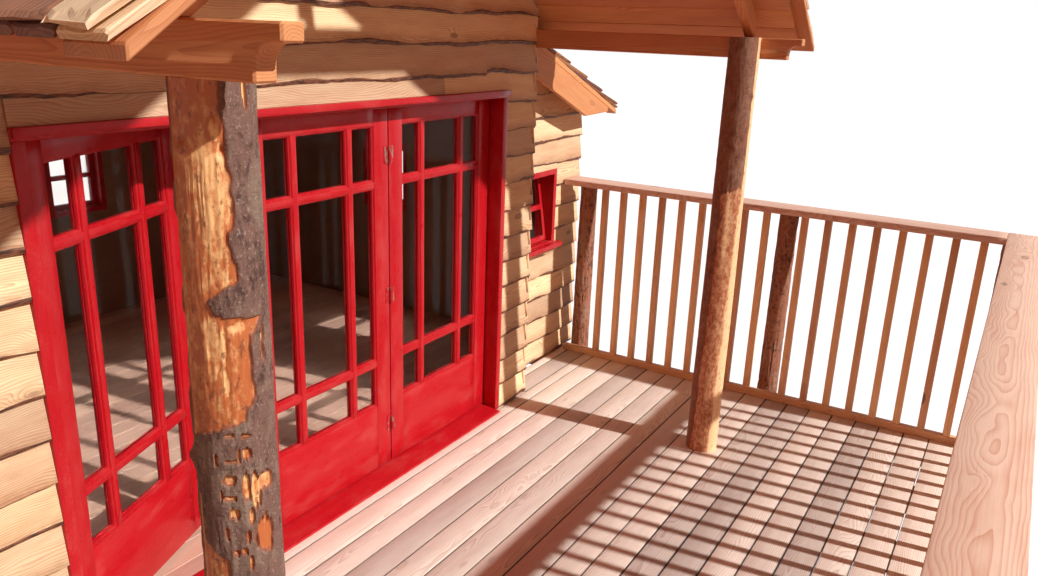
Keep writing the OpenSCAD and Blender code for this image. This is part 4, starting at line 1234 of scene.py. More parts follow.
@dataclass
class WaneyWalls:
    """Lapped boards sawn from the log with one natural edge, course over course."""

    lap: float = 0.028
    thick: float = 0.021
    ridge: float = 0.06
    return_top: float = 2.24
    butt_gap: float = 0.0008
    wane: float = 0.0145
    ripple: float = 0.0038
    window_aside: float = 0.06
    back_window: float = 0.852

    def cuts(self, panel: Panel, seed: int) -> list[tuple[float, float, float, float, int, int]]:
        """The boards of a panel, each as (from, to, low, high, course, piece).

        Args:
            panel: the face.
            seed: chooses the butt joints.

        Returns:
            The boards' ends along the face and heights over the deck.
        """
        rng = np.random.default_rng(seed)
        made = []
        first = int(round(panel.bottom / PLAN.course))
        for course in range(first, int(math.ceil((panel.top - 0.02) / PLAN.course))):
            low = max(course * PLAN.course, panel.bottom)
            high = min((course + 1) * PLAN.course + self.lap, panel.top)
            left, right = (float(v) for v in panel.reach(np.array(low)))
            edges, spot = [left], left + rng.uniform(*panel.joints)
            while spot < right - 0.5:
                edges.append(spot)
                spot += rng.uniform(*panel.joints)
            edges.append(right)
            for piece, (a, b) in enumerate(zip(edges[:-1], edges[1:])):
                for start, end, under, over in self.around_holes(a, b, low, high, panel.holes):
                    made.append((start, end, under, over, course, piece))
        return made

    def around_holes(self, a: float, b: float, low: float, high: float, holes: Sequence[tuple]
                     ) -> list[tuple[float, float, float, float]]:
        """Cuts one board round the openings that it meets.

        Args:
            a: the board's first end.
            b: its last end.
            low: its lower edge.
            high: its upper edge.
            holes: (from, to, low, high) of each opening.

        Returns:
            The parts that are left.
        """
        parts = [(a, b, low, high)]
        for start, end, under, over in holes:
            left = []
            for p, q, r, s in parts:
                if q <= start or p >= end or s <= under or r >= over:
                    left.append((p, q, r, s))
                    continue
                if p < start - 0.002:
                    left.append((p, start, r, s))
                if q > end + 0.002:
                    left.append((end, q, r, s))
                if r < under - 0.006:
                    left.append((max(p, start), min(q, end), r, under))
                if s > over + 0.004:
                    left.append((max(p, start), min(q, end), over, s))
            parts = left
        return parts

    def dress(self, shape: Shape, panel: Panel, seed: int) -> None:
        """Adds a panel's boards: a sloping section of ten points carried along each course.

        The lower edge of a natural board is its low line plus a slow and a quick noise of the length. Four
        points of the section, up its lower edge to the foot of its face, are its bark.

        Args:
            shape: takes the boards.
            panel: the face.
            seed: chooses the boards.
        """
        boards = self.cuts(panel, seed)
        for rings, shortest, longest in ((10, -math.inf, 0.5), (44, 0.5, 1.5), (96, 1.5, math.inf)):
            chosen = [board for board in boards if shortest < board[1] - board[0] <= longest]
            if chosen:
                self.carry(shape, panel, np.array(chosen), rings, seed)

    def carry(self, shape: Shape, panel: Panel, table: Array, rings: int, seed: int) -> None:
        """Adds boards of one panel that have the same number of rings.

        Args:
            shape: takes the boards.
            panel: the face.
            table: (M, 6) boards as cuts gives them.
            rings: sections along each board.
            seed: chooses their edges and grain.
        """
        start, end, low, high, course, piece = (table[:, i][:, None, None] for i in range(6))
        key = course * 31 + piece * 7 + seed * 101
        natural = np.abs(low - course * PLAN.course) < 1e-6
        share = np.linspace(0, 1, rings)[None, :, None]
        t_low, t_high = PLAN.clad, PLAN.clad * 0.42
        line = start + share * (end - start)
        spot = xyz(line * 2.6, key * 1.37, 0.0)

        def ripple(stretch: float, shift: float, number: int) -> Array:
            """Smooth noise of the length, stretched along the board."""
            return lattice(spot * np.array([stretch, 1, 1]) + shift, seed + number)

        wane = np.where(natural, fractal(spot, seed, 2) * self.wane + ripple(9.0, 3.3, 2) * self.ripple,
                        0.0)
        bark = np.where(natural, 0.015 + 0.010 * ripple(3.0, 8.1, 3), 0.002)
        gone = np.where(natural, smooth(ripple(2.0, 5.7, 4), 0.35, 0.6), 1.0)
        bark = bark * (1.0 - 0.75 * gone)
        face = (low + wane + bark + (high - low - wane - bark) * np.array([0.0, 0.33, 0.66, 1.0]))
        outer = t_low + (t_high - t_low) * (face - low) / (PLAN.course + self.lap)
        outer = outer - np.array([0.0, 1.0, 1.0, 0.0]) * np.abs(0.0012 * ripple(0.7, 0.0, 6))
        edge_z = np.concatenate([low + wane + 0.004, low + wane, low + wane + 0.0015,
                                 low + wane + bark * 0.7], -1)
        edge_out = t_low - np.array([self.thick, self.thick * 0.55, 0.0055, 0.0004]) + 0 * wane
        back_z = np.concatenate([high + 0 * wane, (low + high) / 2 + 0 * wane], -1)
        back_out = np.array([t_high - self.thick * 0.6, (t_low + t_high) / 2 - self.thick * 0.8]) + 0 * wane
        z = np.minimum(np.concatenate([edge_z, face, back_z], -1), panel.top)
        out = np.maximum(np.concatenate([edge_out, outer, back_out], -1), 0.002)
        left, right = panel.reach(z)
        first = np.maximum(start + self.butt_gap, left)
        last = np.maximum(np.minimum(end - self.butt_gap, right), first + 0.0005)
        along = first + share * (last - first)
        own = np.array([own_grain(int(number)) for number in key.ravel()])[:, None, None]
        mask = np.zeros(z.shape)
        mask[..., 0:4] = np.where(natural, 1.0, 0.0)
        mask[..., 4] = np.where(natural[..., 0], 0.35, 0.0)
        shape.add_bars(panel.place(along, out, z), np.stack([along, z - low, out], -1) + own[..., :3],
                       own[:, 0, 0, 3], mask)

    def build(self) -> None:
        """Builds the boards of every wall."""
        self.bay()
        self.aisles()
        self.sides()
        self.back()

    def bay(self) -> None:
        """Front of the tall bay on both sides of the doors and over them, and its two short returns."""
        shape = Shape()
        hole = (-PLAN.door_half, PLAN.door_half, -1.0, PLAN.door_top)
        self.dress(shape, Panel(wide_wall(PLAN.wall_y + PLAN.clad, -1), both_ways(PLAN.gable),
                                PLAN.under - self.ridge, holes=(hole,), joints=(2.0, 3.6)), 301)
        for side in (-1, 1):
            back = deep_wall(PLAN.bay_half - PLAN.clad, side, PLAN.wall_y)
            self.dress(shape, Panel(back, between(0.006, PLAN.set_back + PLAN.clad - 0.001), self.return_top,
                                    joints=(5, 6)), 320 + side)
        shape.build("bay_waney_boards", WANEY, "bay_cladding")

    def aisles(self) -> None:
        """The two aisle fronts, set back beside the bay."""
        shape = Shape()
        hole = PLAN.window((PLAN.bay_half + PLAN.aisle_half) / 2 - self.window_aside)
        for side in (-1, 1):
            self.dress(shape, Panel(wide_wall(PLAN.aisle_y + PLAN.clad, -1, side),
                                    lambda z: (0 * z + PLAN.bay_half, PLAN.aisle(z)),
                                    PLAN.aisle_at_bay - 0.02, holes=(hole,), joints=(5, 6)), 340 + side)
        shape.build("aisle_waney_boards", WANEY, "aisle_cladding")

    def sides(self) -> None:
        """The long side walls of the aisles."""
        shape = Shape()
        fall = (PLAN.aisle_half - PLAN.bay_half) * PLAN.aisle_slope
        reach = between(PLAN.aisle_y + PLAN.clad, PLAN.back_y - PLAN.clad)
        hole = PLAN.window((PLAN.aisle_y + PLAN.back_y) / 2)
        for side in (-1, 1):
            self.dress(shape, Panel(deep_wall(PLAN.aisle_half - PLAN.clad, side), reach,
                                    PLAN.aisle_at_bay - fall - PLAN.under_roof, holes=(hole,)), 360 + side)
        shape.build("side_waney_boards", WANEY, "side_cladding")

    def back(self) -> None:
        """The back wall: as wide as the aisles below, and a gable over them."""
        seam = PLAN.aisle_at_bay - PLAN.under_roof
        reach = both_ways(lambda z: np.where(z < seam, PLAN.aisle(z), PLAN.gable(z)))
        holes = tuple(PLAN.window(side * self.back_window) for side in (-1, 1))
        shape = Shape()
        self.dress(shape, Panel(wide_wall(PLAN.back_y - PLAN.clad, 1), reach, PLAN.under - self.ridge,
                                holes=holes), 380)
        shape.build("back_waney_boards", WANEY, "back_cladding")


def own_grain(key: int) -> Array:
    """Grain shift and tone that belong to one board, whichever of its parts asks."""
    return np.random.default_rng(key + BOARD_SEEDS).uniform(-1, 1, 4) * [*GRAIN_SHIFT, 0.5] + [0, 0, 0, 0.5]


# Doors and windows


@dataclass
class LeafJoinery:
    """A glazed door leaf: stiles, rails and bars, with an ovolo moulding round each pane on both faces.

    Rails and bars are thinner than the stiles by their shy, so that no two faces lie in one plane.
    """

    width: float = 0.82
    thick: float = 0.044
    height: float = 1.746
    stile: float = 0.105
    top: float = 0.085
    bottom: float = 0.34
    bar: float = 0.048
    side: float = 0.12
    high: float = 0.229
    low: float = 0.186
    mould: float = 0.0105
    rail_shy: float = 0.0006
    bar_shy: float = 0.001
    cross_shy: float = 0.0018

    def panes(self) -> Array:
        """Edges of the panes.

        Returns:
            (9, 4) left, right, lower and upper edges, up each column in turn.
        """
        x0 = self.stile
        x1 = x0 + self.side + self.bar
        x3 = self.width - self.stile - self.side
        z0 = self.bottom
        z1 = z0 + self.low + self.bar
        z2 = self.height - self.top - self.high
        across = [(x0, x0 + self.side), (x1, x3 - self.bar), (x3, x3 + self.side)]
        up = [(z0, z0 + self.low), (z1, z2 - self.bar), (z2, z2 + self.high)]
        return np.array([(*x, *z) for x in across for z in up])

    def shape(self, seed: int) -> Shape:
        """The leaf with its lower hinge corner at the origin and its outer face at y = 0.

        Args:
            seed: chooses the wander and tones.

        Returns:
            The leaf's shape.
        """
        made = Shape()
        m, mid = self.mould, self.thick / 2
        left, right, core = self.stile - m, self.width - self.stile + m, self.bar - 2 * m
        x = np.array([left / 2, self.width - left / 2])
        made.add_timber(Timber(0.0022, 0.0003, 24, 3), xyz(x, mid, 0.0), xyz(x, mid, self.height), X_WAY,
                        left, self.thick, seed)
        z = np.array([(self.bottom - m) / 2, self.height - (self.top - m) / 2])
        made.add_timber(Timber(0.0018, 0.0003, 16, 3), xyz(left, mid, z), xyz(right, mid, z), Z_WAY,
                        np.array([self.bottom - m, self.top - m]), self.thick - self.rail_shy,
                        seed + 1)
        panes = self.panes()
        for x in panes[[0, 3], 1] + self.bar / 2:
            made.add_timber(Timber(0.0016, 0.0002, 20, 3), (x, mid, self.bottom - m),
                            (x, mid, self.height - self.top + m), X_WAY, core, self.thick - self.bar_shy,
                            seed + 2)
        for z in panes[[0, 1], 3] + self.bar / 2:
            made.add_timber(Timber(0.0016, 0.0002, 14, 3), (left, mid, z), (right, mid, z), Z_WAY, core,
                            self.thick - self.cross_shy, seed + 3)
        self.mouldings(made, panes, seed)
        return made

    def mouldings(self, made: Shape, panes: Array, seed: int) -> None:
        """Mitred frames: a narrow step under the face, then a quarter circle down to the pane.

        Args:
            made: takes the frames.
            panes: (9, 4) edges of the panes.
            seed: chooses the tones.
        """
        # The section, point by point: how far out from the pane's edge, and how deep under the leaf's face.
        m = self.mould + 0.0006
        turn = np.linspace(0, np.pi / 2, 6)
        step = m - 0.0036
        out = np.concatenate([[m, m, step, step], 0.0010 + (step - 0.0016) * (1 - np.sin(turn)), [0.0, 0.0]])
        deep = np.concatenate([[0.0188, 0.0030, 0.0030, 0.0050], 0.0052 + 0.0075 * (1 - np.cos(turn)),
                               [0.0140, 0.0188]])
        corner = np.array([[0, 2, -1, -1], [1, 2, 1, -1], [1, 3, 1, 1], [0, 3, -1, 1]])
        x = panes[:, corner[:, 0]][:, :, None] + corner[None, :, 2, None] * out
        z = panes[:, corner[:, 1]][:, :, None] + corner[None, :, 3, None] * out
        run = np.arange(4)[None, :, None] * 0.4
        rng = np.random.default_rng(seed)
        for y in (deep, self.thick - deep):
            made.add_bars(xyz(x, y, z), xyz(run, out, y) + 0 * x[..., None], rng.uniform(0, 1, len(panes)),
                          0.0, looped=True)


@dataclass
class DoorSet:
    """The three-leaf glazed door set in its frame."""

    gap: float = 0.007
    jamb: float = 0.04
    half: float = 1.244
    recess: float = 0.085
    ajar: float = 22.0
    low: float = 2.629
    leaf_t: float = 0.044
    pin_out: float = 0.009
    strip: float = 0.028
    strip_t: float = 0.022

    def build(self) -> None:
        """Builds the leaves, the frame and the threshold."""
        leaf = LeafJoinery()
        for index, (name, body, node) in enumerate((
                ("near_leaf_joinery", "near_door", "door_leaf"),
                ("middle_leaf_joinery", "house", "folding_leaf_middle"),
                ("far_leaf_joinery", "house", "folding_leaf_far"))):
            made = leaf.shape(500 + index * 10)
            corner = np.array([-self.half + self.gap + index * (leaf.width + self.gap),
                               PLAN.wall_y + self.recess, self.low])
            made.points = [points + corner for points in made.points]
            if body == "near_door":
                made.points = [self.swing(points) for points in made.points]
            made.build(name, RED, node, body)
        self.frame()
        soften("door_threshold", RED, 0.003, 520)
        dress_nodes(["folding_glass", "door_leaf_glass"], GLASS)
        dress_nodes(["folding_hinges"], HINGE_RED)
        dress_nodes(["hinge_pins", "hinge_straps"], STEEL)

    def swing(self, points: Array) -> Array:
        """Turns points about the near leaf's hinge line by the angle at which it stands ajar.

        Args:
            points: (N, 3) points of the shut leaf.

        Returns:
            (N, 3) points.
        """
        pin = np.array([-self.half + self.gap / 2, PLAN.wall_y + self.recess + self.leaf_t + self.pin_out])
        c, s = math.cos(math.radians(self.ajar)), math.sin(math.radians(self.ajar))
        flat = points[:, :2] - pin
        turned = np.stack([flat[:, 0] * c - flat[:, 1] * s, flat[:, 0] * s + flat[:, 1] * c], -1) + pin
        return np.concatenate([turned, points[:, 2:]], 1)

    def frame(self) -> None:
        """Jambs, head and the drip strip over the head."""
        deep = self.recess + self.leaf_t
        x, outer, y = self.half + self.jamb / 2, self.half + self.jamb, PLAN.wall_y + deep / 2
        low, top = PLAN.deck_top, PLAN.deck_top + PLAN.door_top
        head = top - self.jamb / 2
        front, drip = PLAN.wall_y - self.strip_t / 2, top - self.strip / 2
        shape = Shape()
        shape.add_timber(Timber(0.0028, 0.0004, 24, 3), [(-x, y, low), (x, y, low)],
                         [(-x, y, top - self.jamb), (x, y, top - self.jamb)], X_WAY, self.jamb, deep, 530)
        shape.add_timber(Timber(0.0028, 0.0004, 30, 3), (-outer, y, head), (outer, y, head), Z_WAY,
                         self.jamb, deep, 531)
        shape.add_timber(Timber(0.003, 0.0004, 30, 3), (-outer, front, drip), (outer, front, drip), Z_WAY,
                         self.strip, self.strip_t, 532)
        shape.build("door_frame_joinery", RED, "door_frame")


@dataclass
class SmallWindows:
    """The small red windows, one with its sash tilted in."""

    edge: float = 0.0022

    def build(self) -> None:
        """Builds the frames and sashes and glazes them."""
        soften("window_frames", RED, self.edge, 541)
        soften("window_sashes", RED, self.edge, 542)
        dress_nodes(["window_glass"], GLASS)


# Porch


EDGE = ((0, 20), (0.5, -20), (0.9, -45), (1.05, -20), (1.1, -22), (1.13, -62), (1.36, -75),
        (1.385, -18), (1.4, 14), (1.43, 28), (1.47, 33), (1.53, 30), (1.57, 34), (1.6, 50),
        (1.612, -16), (1.64, -24), (1.66, 2), (1.675, 18), (1.72, 11), (1.762, 9), (1.807, 15),
        (1.865, 20), (1.906, 16), (1.952, 10), (1.985, 7), (2.13, 11))
"""Heights over the deck and the angles at which the near post's bark begins."""

BITES = (
    (-12, 1.84, 31, 0.092, 1, 0), (-10, 1.72, 19, 0.06, 0.75, 0),
    (3, 1.955, 9, 0.02, 0.9, 0), (-22, 1.92, 20, 0.016, 0.6, 0),
    (0, 1.672, 13, 0.02, 0.85, 0), (-24, 1.56, 17, 0.056, 0.85, 0),
    (13, 1.586, 13, 0.011, 1, 0.6), (50, 1.55, 4, 0.036, 1, 1),
    (-10, 1.478, 6, 0.03, 1, 0.4), (-10, 1.372, 6.5, 0.0045, 0.5, 1),
    (13, 1.368, 7.5, 0.0045, 0.5, 1), (-30, 1.322, 2.5, 0.012, 0.5, 1),
    (-8, 1.318, 10, 0.0035, 0.5, 1), (2.5, 1.327, 2, 0.014, 0.6, 1),
    (13, 1.331, 6, 0.012, 0.2, 1), (-13, 1.28, 8, 0.011, 0.7, 1),
    (10, 1.262, 5, 0.026, 0.8, 1), (24, 1.25, 9, 0.034, 0.8, 1),
    (38, 1.262, 12, 0.018, 0.55, 1), (-13, 1.239, 11, 0.0035, 0.4, 1),
    (-25, 1.245, 2, 0.013, 0.5, 1), (-8, 1.203, 7.5, 0.011, 0.75, 1),
    (14, 1.195, 4, 0.018, 0.7, 1), (-20, 1.16, 3.5, 0.014, 0.6, 1),
    (8, 1.152, 2.5, 0.014, 0.5, 1), (33, 1.145, 14, 0.04, 0.18, 1),
    (-10, 1.116, 5, 0.006, 0.4, 1), (1, 1.12, 4, 0.006, 0.4, 1),
    (10, 1.09, 2.5, 0.014, 0.6, 1), (-45, 1.08, 22, 0.04, 0.6, 0),
    (-2, 1.434, 6, 0.008, 0, 0), (46, 2.01, 5, 0.03, 0.9, 1))
"""Cuts and chips of the near post: angle, height, half width in degrees, half height, freshness, depth."""

NEAR_KNOTS = ((-50, 1.91, 0.018, 0.012), (3, 1.955, 0.015, 0.008), (8, 1.912, 0.012, -0.011),
              (23, 1.757, 0.014, 0.006), (47, 1.923, 0.012, 0.007), (14, 1.99, 0.009, 0.005),
              (-100, 1.3, 0.022, 0.012), (120, 0.85, 0.024, 0.012), (10, 0.62, 0.018, 0.008))
FAR_KNOTS = tuple((angle, height, 0.016, 0.006) for angle, height in (
    (200, 1.62), (310, 1.18), (225, 0.74), (80, 1.4), (140, 0.9), (250, 1.86)))
"""Knots that stand out of a post or sink into it: angle, height, size and rise."""


@dataclass
class Porch:
    """The two log posts, the eave beams that they carry, and the truss over them."""

    post_x: float = 1.535
    post_y: float = PLAN.wall_y - 1.147
    top: float = 2.128
    notch_x: float = 1.5597
    notch_z: float = 2.0318
    near: float = 0.168
    far: float = 0.166
    taper: float = 0.12
    facing: float = 230.9
    far_facing: float = 197.0

    def build(self) -> None:
        """Builds the posts and dresses the beams."""
        self.near_post()
        self.far_post()
        for seed, node, bevel in ((551, "eave_beams", 0.004), (552, "collar_tie", 0.003),
                                  (553, "king_post", 0.003), (554, "ridge_beam", 0.004),
                                  (555, "rafters", 0.003)):
            soften(node, BEAM, bevel, seed)

    def grid(self, around: int, rows: int, facing: float) -> tuple[Array, Array, Array, Array]:
        """The skin of a post as a grid, with two rings close together where the beam's notch begins.

        Args:
            around: points of a ring.
            rows: rings at even heights.
            facing: the angle from which turns are counted.

        Returns:
            Angle, height, turn in -180..180 from facing, and the direction away from the middle line.
        """
        even = np.linspace(0, self.top, rows)
        height = np.sort(np.append(even, [self.notch_z - 0.0008, self.notch_z]))[None, :, None]
        angle, height = np.broadcast_arrays(np.linspace(0, 360, around, endpoint=False), height)
        unit = np.radians(angle)
        return angle, height, signed(angle - facing), np.stack([np.cos(unit), np.sin(unit)], -1)

    @staticmethod
    def knotted(radius: Array, angle: Array, height: Array, width: float, knots: Sequence[tuple],
                steep: float) -> Array:
        """A radius with knots on it: each adds rise times exp(-steep d^2) at d of its sizes from its middle.

        Args:
            radius: the post's radius.
            angle: angle or turn in degrees.
            height: height over the deck.
            width: the post's width.
            knots: (angle, height, size, rise) of each.
            steep: how fast a knot ends.

        Returns:
            The new radius.
        """
        for at, up, size, rise in knots:
            away = np.hypot(np.radians(signed(angle - at)) * width / 2, height - up) / size
            radius = radius + rise * np.exp(-away * away * steep)
        return radius

    def stand(self, side: int, radius: Array, ring: Array, height: Array) -> Array:
        """Points of a post's skin, cut flat on the outer side where the eave beam lies in it.

        Args:
            side: -1 for the near post, 1 for the far post.
            radius: (..., ) distances from the post's middle line.
            ring: (..., 2) directions.
            height: heights over the deck.

        Returns:
            (..., 3) points.
        """
        x = side * self.post_x + radius * ring[..., 0]
        kept = np.where(height >= self.notch_z, self.notch_x, np.inf)
        return xyz(side * np.minimum(side * x, kept), self.post_y + radius * ring[..., 1],
                   PLAN.deck_top + height)

    def skin(self, turn: Array, height: Array) -> tuple[Array, Array, Array]:
        """Where the near post keeps its bark, how deep tools bit into it, and how fresh the bare wood is.

        Bark is 1 to the right of a wandering line that depends on the height. BITES take it away again in
        short cuts and chips, each a rounded box about its middle whose outline a noise makes ragged.

        Args:
            turn: angle in degrees from the side that faces the deck's near front corner.
            height: height over the deck.

        Returns:
            Bark in 0..1, depth of the cuts in 0..1 and freshness in 0..1.
        """
        unit = np.radians(turn)
        spot = np.stack([np.cos(unit) * 1.3, np.sin(unit) * 1.3, height * 7.0], -1)
        ragged = fractal(spot * 3.1, 71, 4) * 13.0 + fractal(spot * 0.8, 72, 2) * 6.0
        line = np.interp(height, *zip(*EDGE))
        bark = smooth(turn + ragged, line - 2.5, line + 2.5)
        patchy = smooth(fractal(spot * 1.1 + 9.0, 75, 2), -0.25, -0.05)
        bark = np.maximum(bark, smooth(-turn + ragged * 1.4, 84.0, 92.0) * patchy)
        rim = smooth(np.abs(turn + ragged - line), 14.0, 3.0)
        fresh = 0.16 + 0.12 * fractal(spot * 0.9 + 2.0, 74, 2)
        bite = np.zeros_like(height)
        wear = 1.0 + 0.5 * fractal(spot * np.array([11.0, 11.0, 6.0]), 76, 3)
        slip = fractal(spot * np.array([6.0, 6.0, 2.5]), 79, 4)
        drop = fractal(spot * np.array([8.0, 8.0, 2.0]) + 7.0, 80, 4)
        rng = np.random.default_rng(78)
        low = [(rng.uniform(-75, 70), rng.uniform(0.35, 1.04), rng.uniform(3, 11), rng.uniform(0.003, 0.014),
                0.6, 1.0) for _ in range(34)]
        for at, up, wide, tall, new, cut in BITES + tuple(low):
            aside, above = (turn - at) / wide + 0.7 * slip, (height - up) / tall + 0.7 * drop
            inside = 1.0 - smooth((np.abs(aside) ** 2.4 + np.abs(above) ** 2.4) * wear, 0.7, 1.3)
            fresh = np.maximum(fresh, inside * new * (0.78 + 0.5 * drop))
            bite = np.maximum(bite, inside * cut)
        return bark * (1.0 - bite), bite, np.clip(fresh - 0.25 * rim, 0.0, 1.0)

    def near_post(self) -> None:
        """The part-peeled log: bark stands 4 mm over the peeled wood, which keeps knife facets and knots."""
        _, height, turn, ring = self.grid(200, 440, self.facing)
        bark, bite, fresh = self.skin(turn, height)
        tall, facet, torn, fine = (on_log(ring, height, across, along) for across, along in (
            (1.1, 1.3), (2.6, 6.0), (7.0, 9.0), (22.0, 24.0)))
        girth = self.near / 2 * (1.0 - self.taper * height / self.top)
        base = girth * (0.955 + 0.03 * fractal(tall, 81, 2)) + 0.0022 * lattice(facet, 82)
        ripple = np.abs(fractal(torn, 83, 3)) * (0.0020 + 0.0042 * fresh) + 0.0008 * lattice(fine, 84)
        crust = 0.0040 + 0.0016 * fractal(fine * 0.6, 85, 2) + 0.0018 * lattice(torn, 86)
        radius = base + np.where(bark > 0.02, bark * crust, 0.0) - (1 - bark) * ripple - bite * 0.0016
        radius = self.knotted(radius, turn, height, self.near, NEAR_KNOTS, 1.4)
        shape = Shape()
        shape.add_bars(self.stand(-1, radius, ring, height),
                       xyz(height, radius * ring[..., 0], radius * ring[..., 1]), fresh, bark)
        shape.build("near_post_log", NEAR_POST)

    def far_post(self) -> None:
        """The peeled log: thin bark above a torn step and down the left, and pale wood down its right side,
        partly fresh and partly a painted sunlit rim.
        """
        angle, height, turn, ring = self.grid(120, 300, self.far_facing)
        tall, facet = on_log(ring, height, 1.1, 1.2, 5.0), on_log(ring, height, 2.4, 5.0, 5.0)
        girth = self.far / 2 * (1.0 - self.taper * height / self.top)
        radius = girth * (0.97 + 0.03 * fractal(tall, 91, 2)) + 0.0016 * fractal(facet, 92, 3)
        radius = self.knotted(radius, angle, height, self.far, FAR_KNOTS, 1.5)
        ragged = 15.0 * fractal(facet * 2.2, 93, 4)
        # Right of this line the post is bare and pale: fresh wood, and partly a painted sunlit rim on its
        # sunny side.
        lit = np.interp(height, (0.0, 0.5, 0.9, 1.35, 1.5, 2.1), (18.0, 26.0, 34.0, 46.0, 50.0, 54.0))
        lit = lit + 0.5 * ragged
        edge = np.interp(height + 0.002 * ragged, (0.0, 0.7, 1.40, 1.44, 2.1),
                         (-50.0, -32.0, -24.0, 90.0, 90.0))
        bark = smooth(edge - turn - ragged, -4.0, 4.0) * smooth(lit - turn, -2.0, 3.0)
        bark = bark * smooth(turn, -165.0, -130.0)
        streak = np.exp(-((turn + 0.4 * ragged - 4.0) / 8.0) ** 2) * smooth(height, 1.0, 1.1)
        streak = streak * smooth(-height, -1.42, -1.38)
        fresh = np.clip(0.36 + 0.55 * streak + 0.6 * smooth(turn - lit, 0.0, 12.0), 0.0, 1.0)
        crust = bark * (0.0020 + 0.0012 * fractal(facet * 4.0, 94, 3))
        grain = xyz(height, radius * ring[..., 0], radius * ring[..., 1]) + 11.0
        shape = Shape()
        shape.add_bars(self.stand(1, radius + crust, ring, height), grain, fresh, bark * 0.85)
        shape.build("far_post_log", FAR_POST, "porch_posts")


def signed(degrees: Array) -> Array:
    """An angle in degrees brought into -180..180."""
    return (degrees + 180.0) % 360.0 - 180.0


# Roofs


@dataclass
class Slope:
    """One roof slope: a plane through the upper edge that falls away from the middle."""

    side: int
    pitch: float
    top_x: float
    low_x: float
    top_z: float
    front: float
    back: float

    @property
    def length(self) -> float:
        """Length down the slope."""
        return (self.low_x - self.top_x) / math.cos(math.radians(self.pitch))

    def spot(self, down: Array | float, y: Array | float, proud: Array | float) -> Array:
        """Places at a distance down the slope from its upper edge, and proud of the plane."""
        c, s = math.cos(math.radians(self.pitch)), math.sin(math.radians(self.pitch))
        return xyz(self.side * (self.top_x + down * c + proud * s), y, self.top_z - down * s + proud * c)


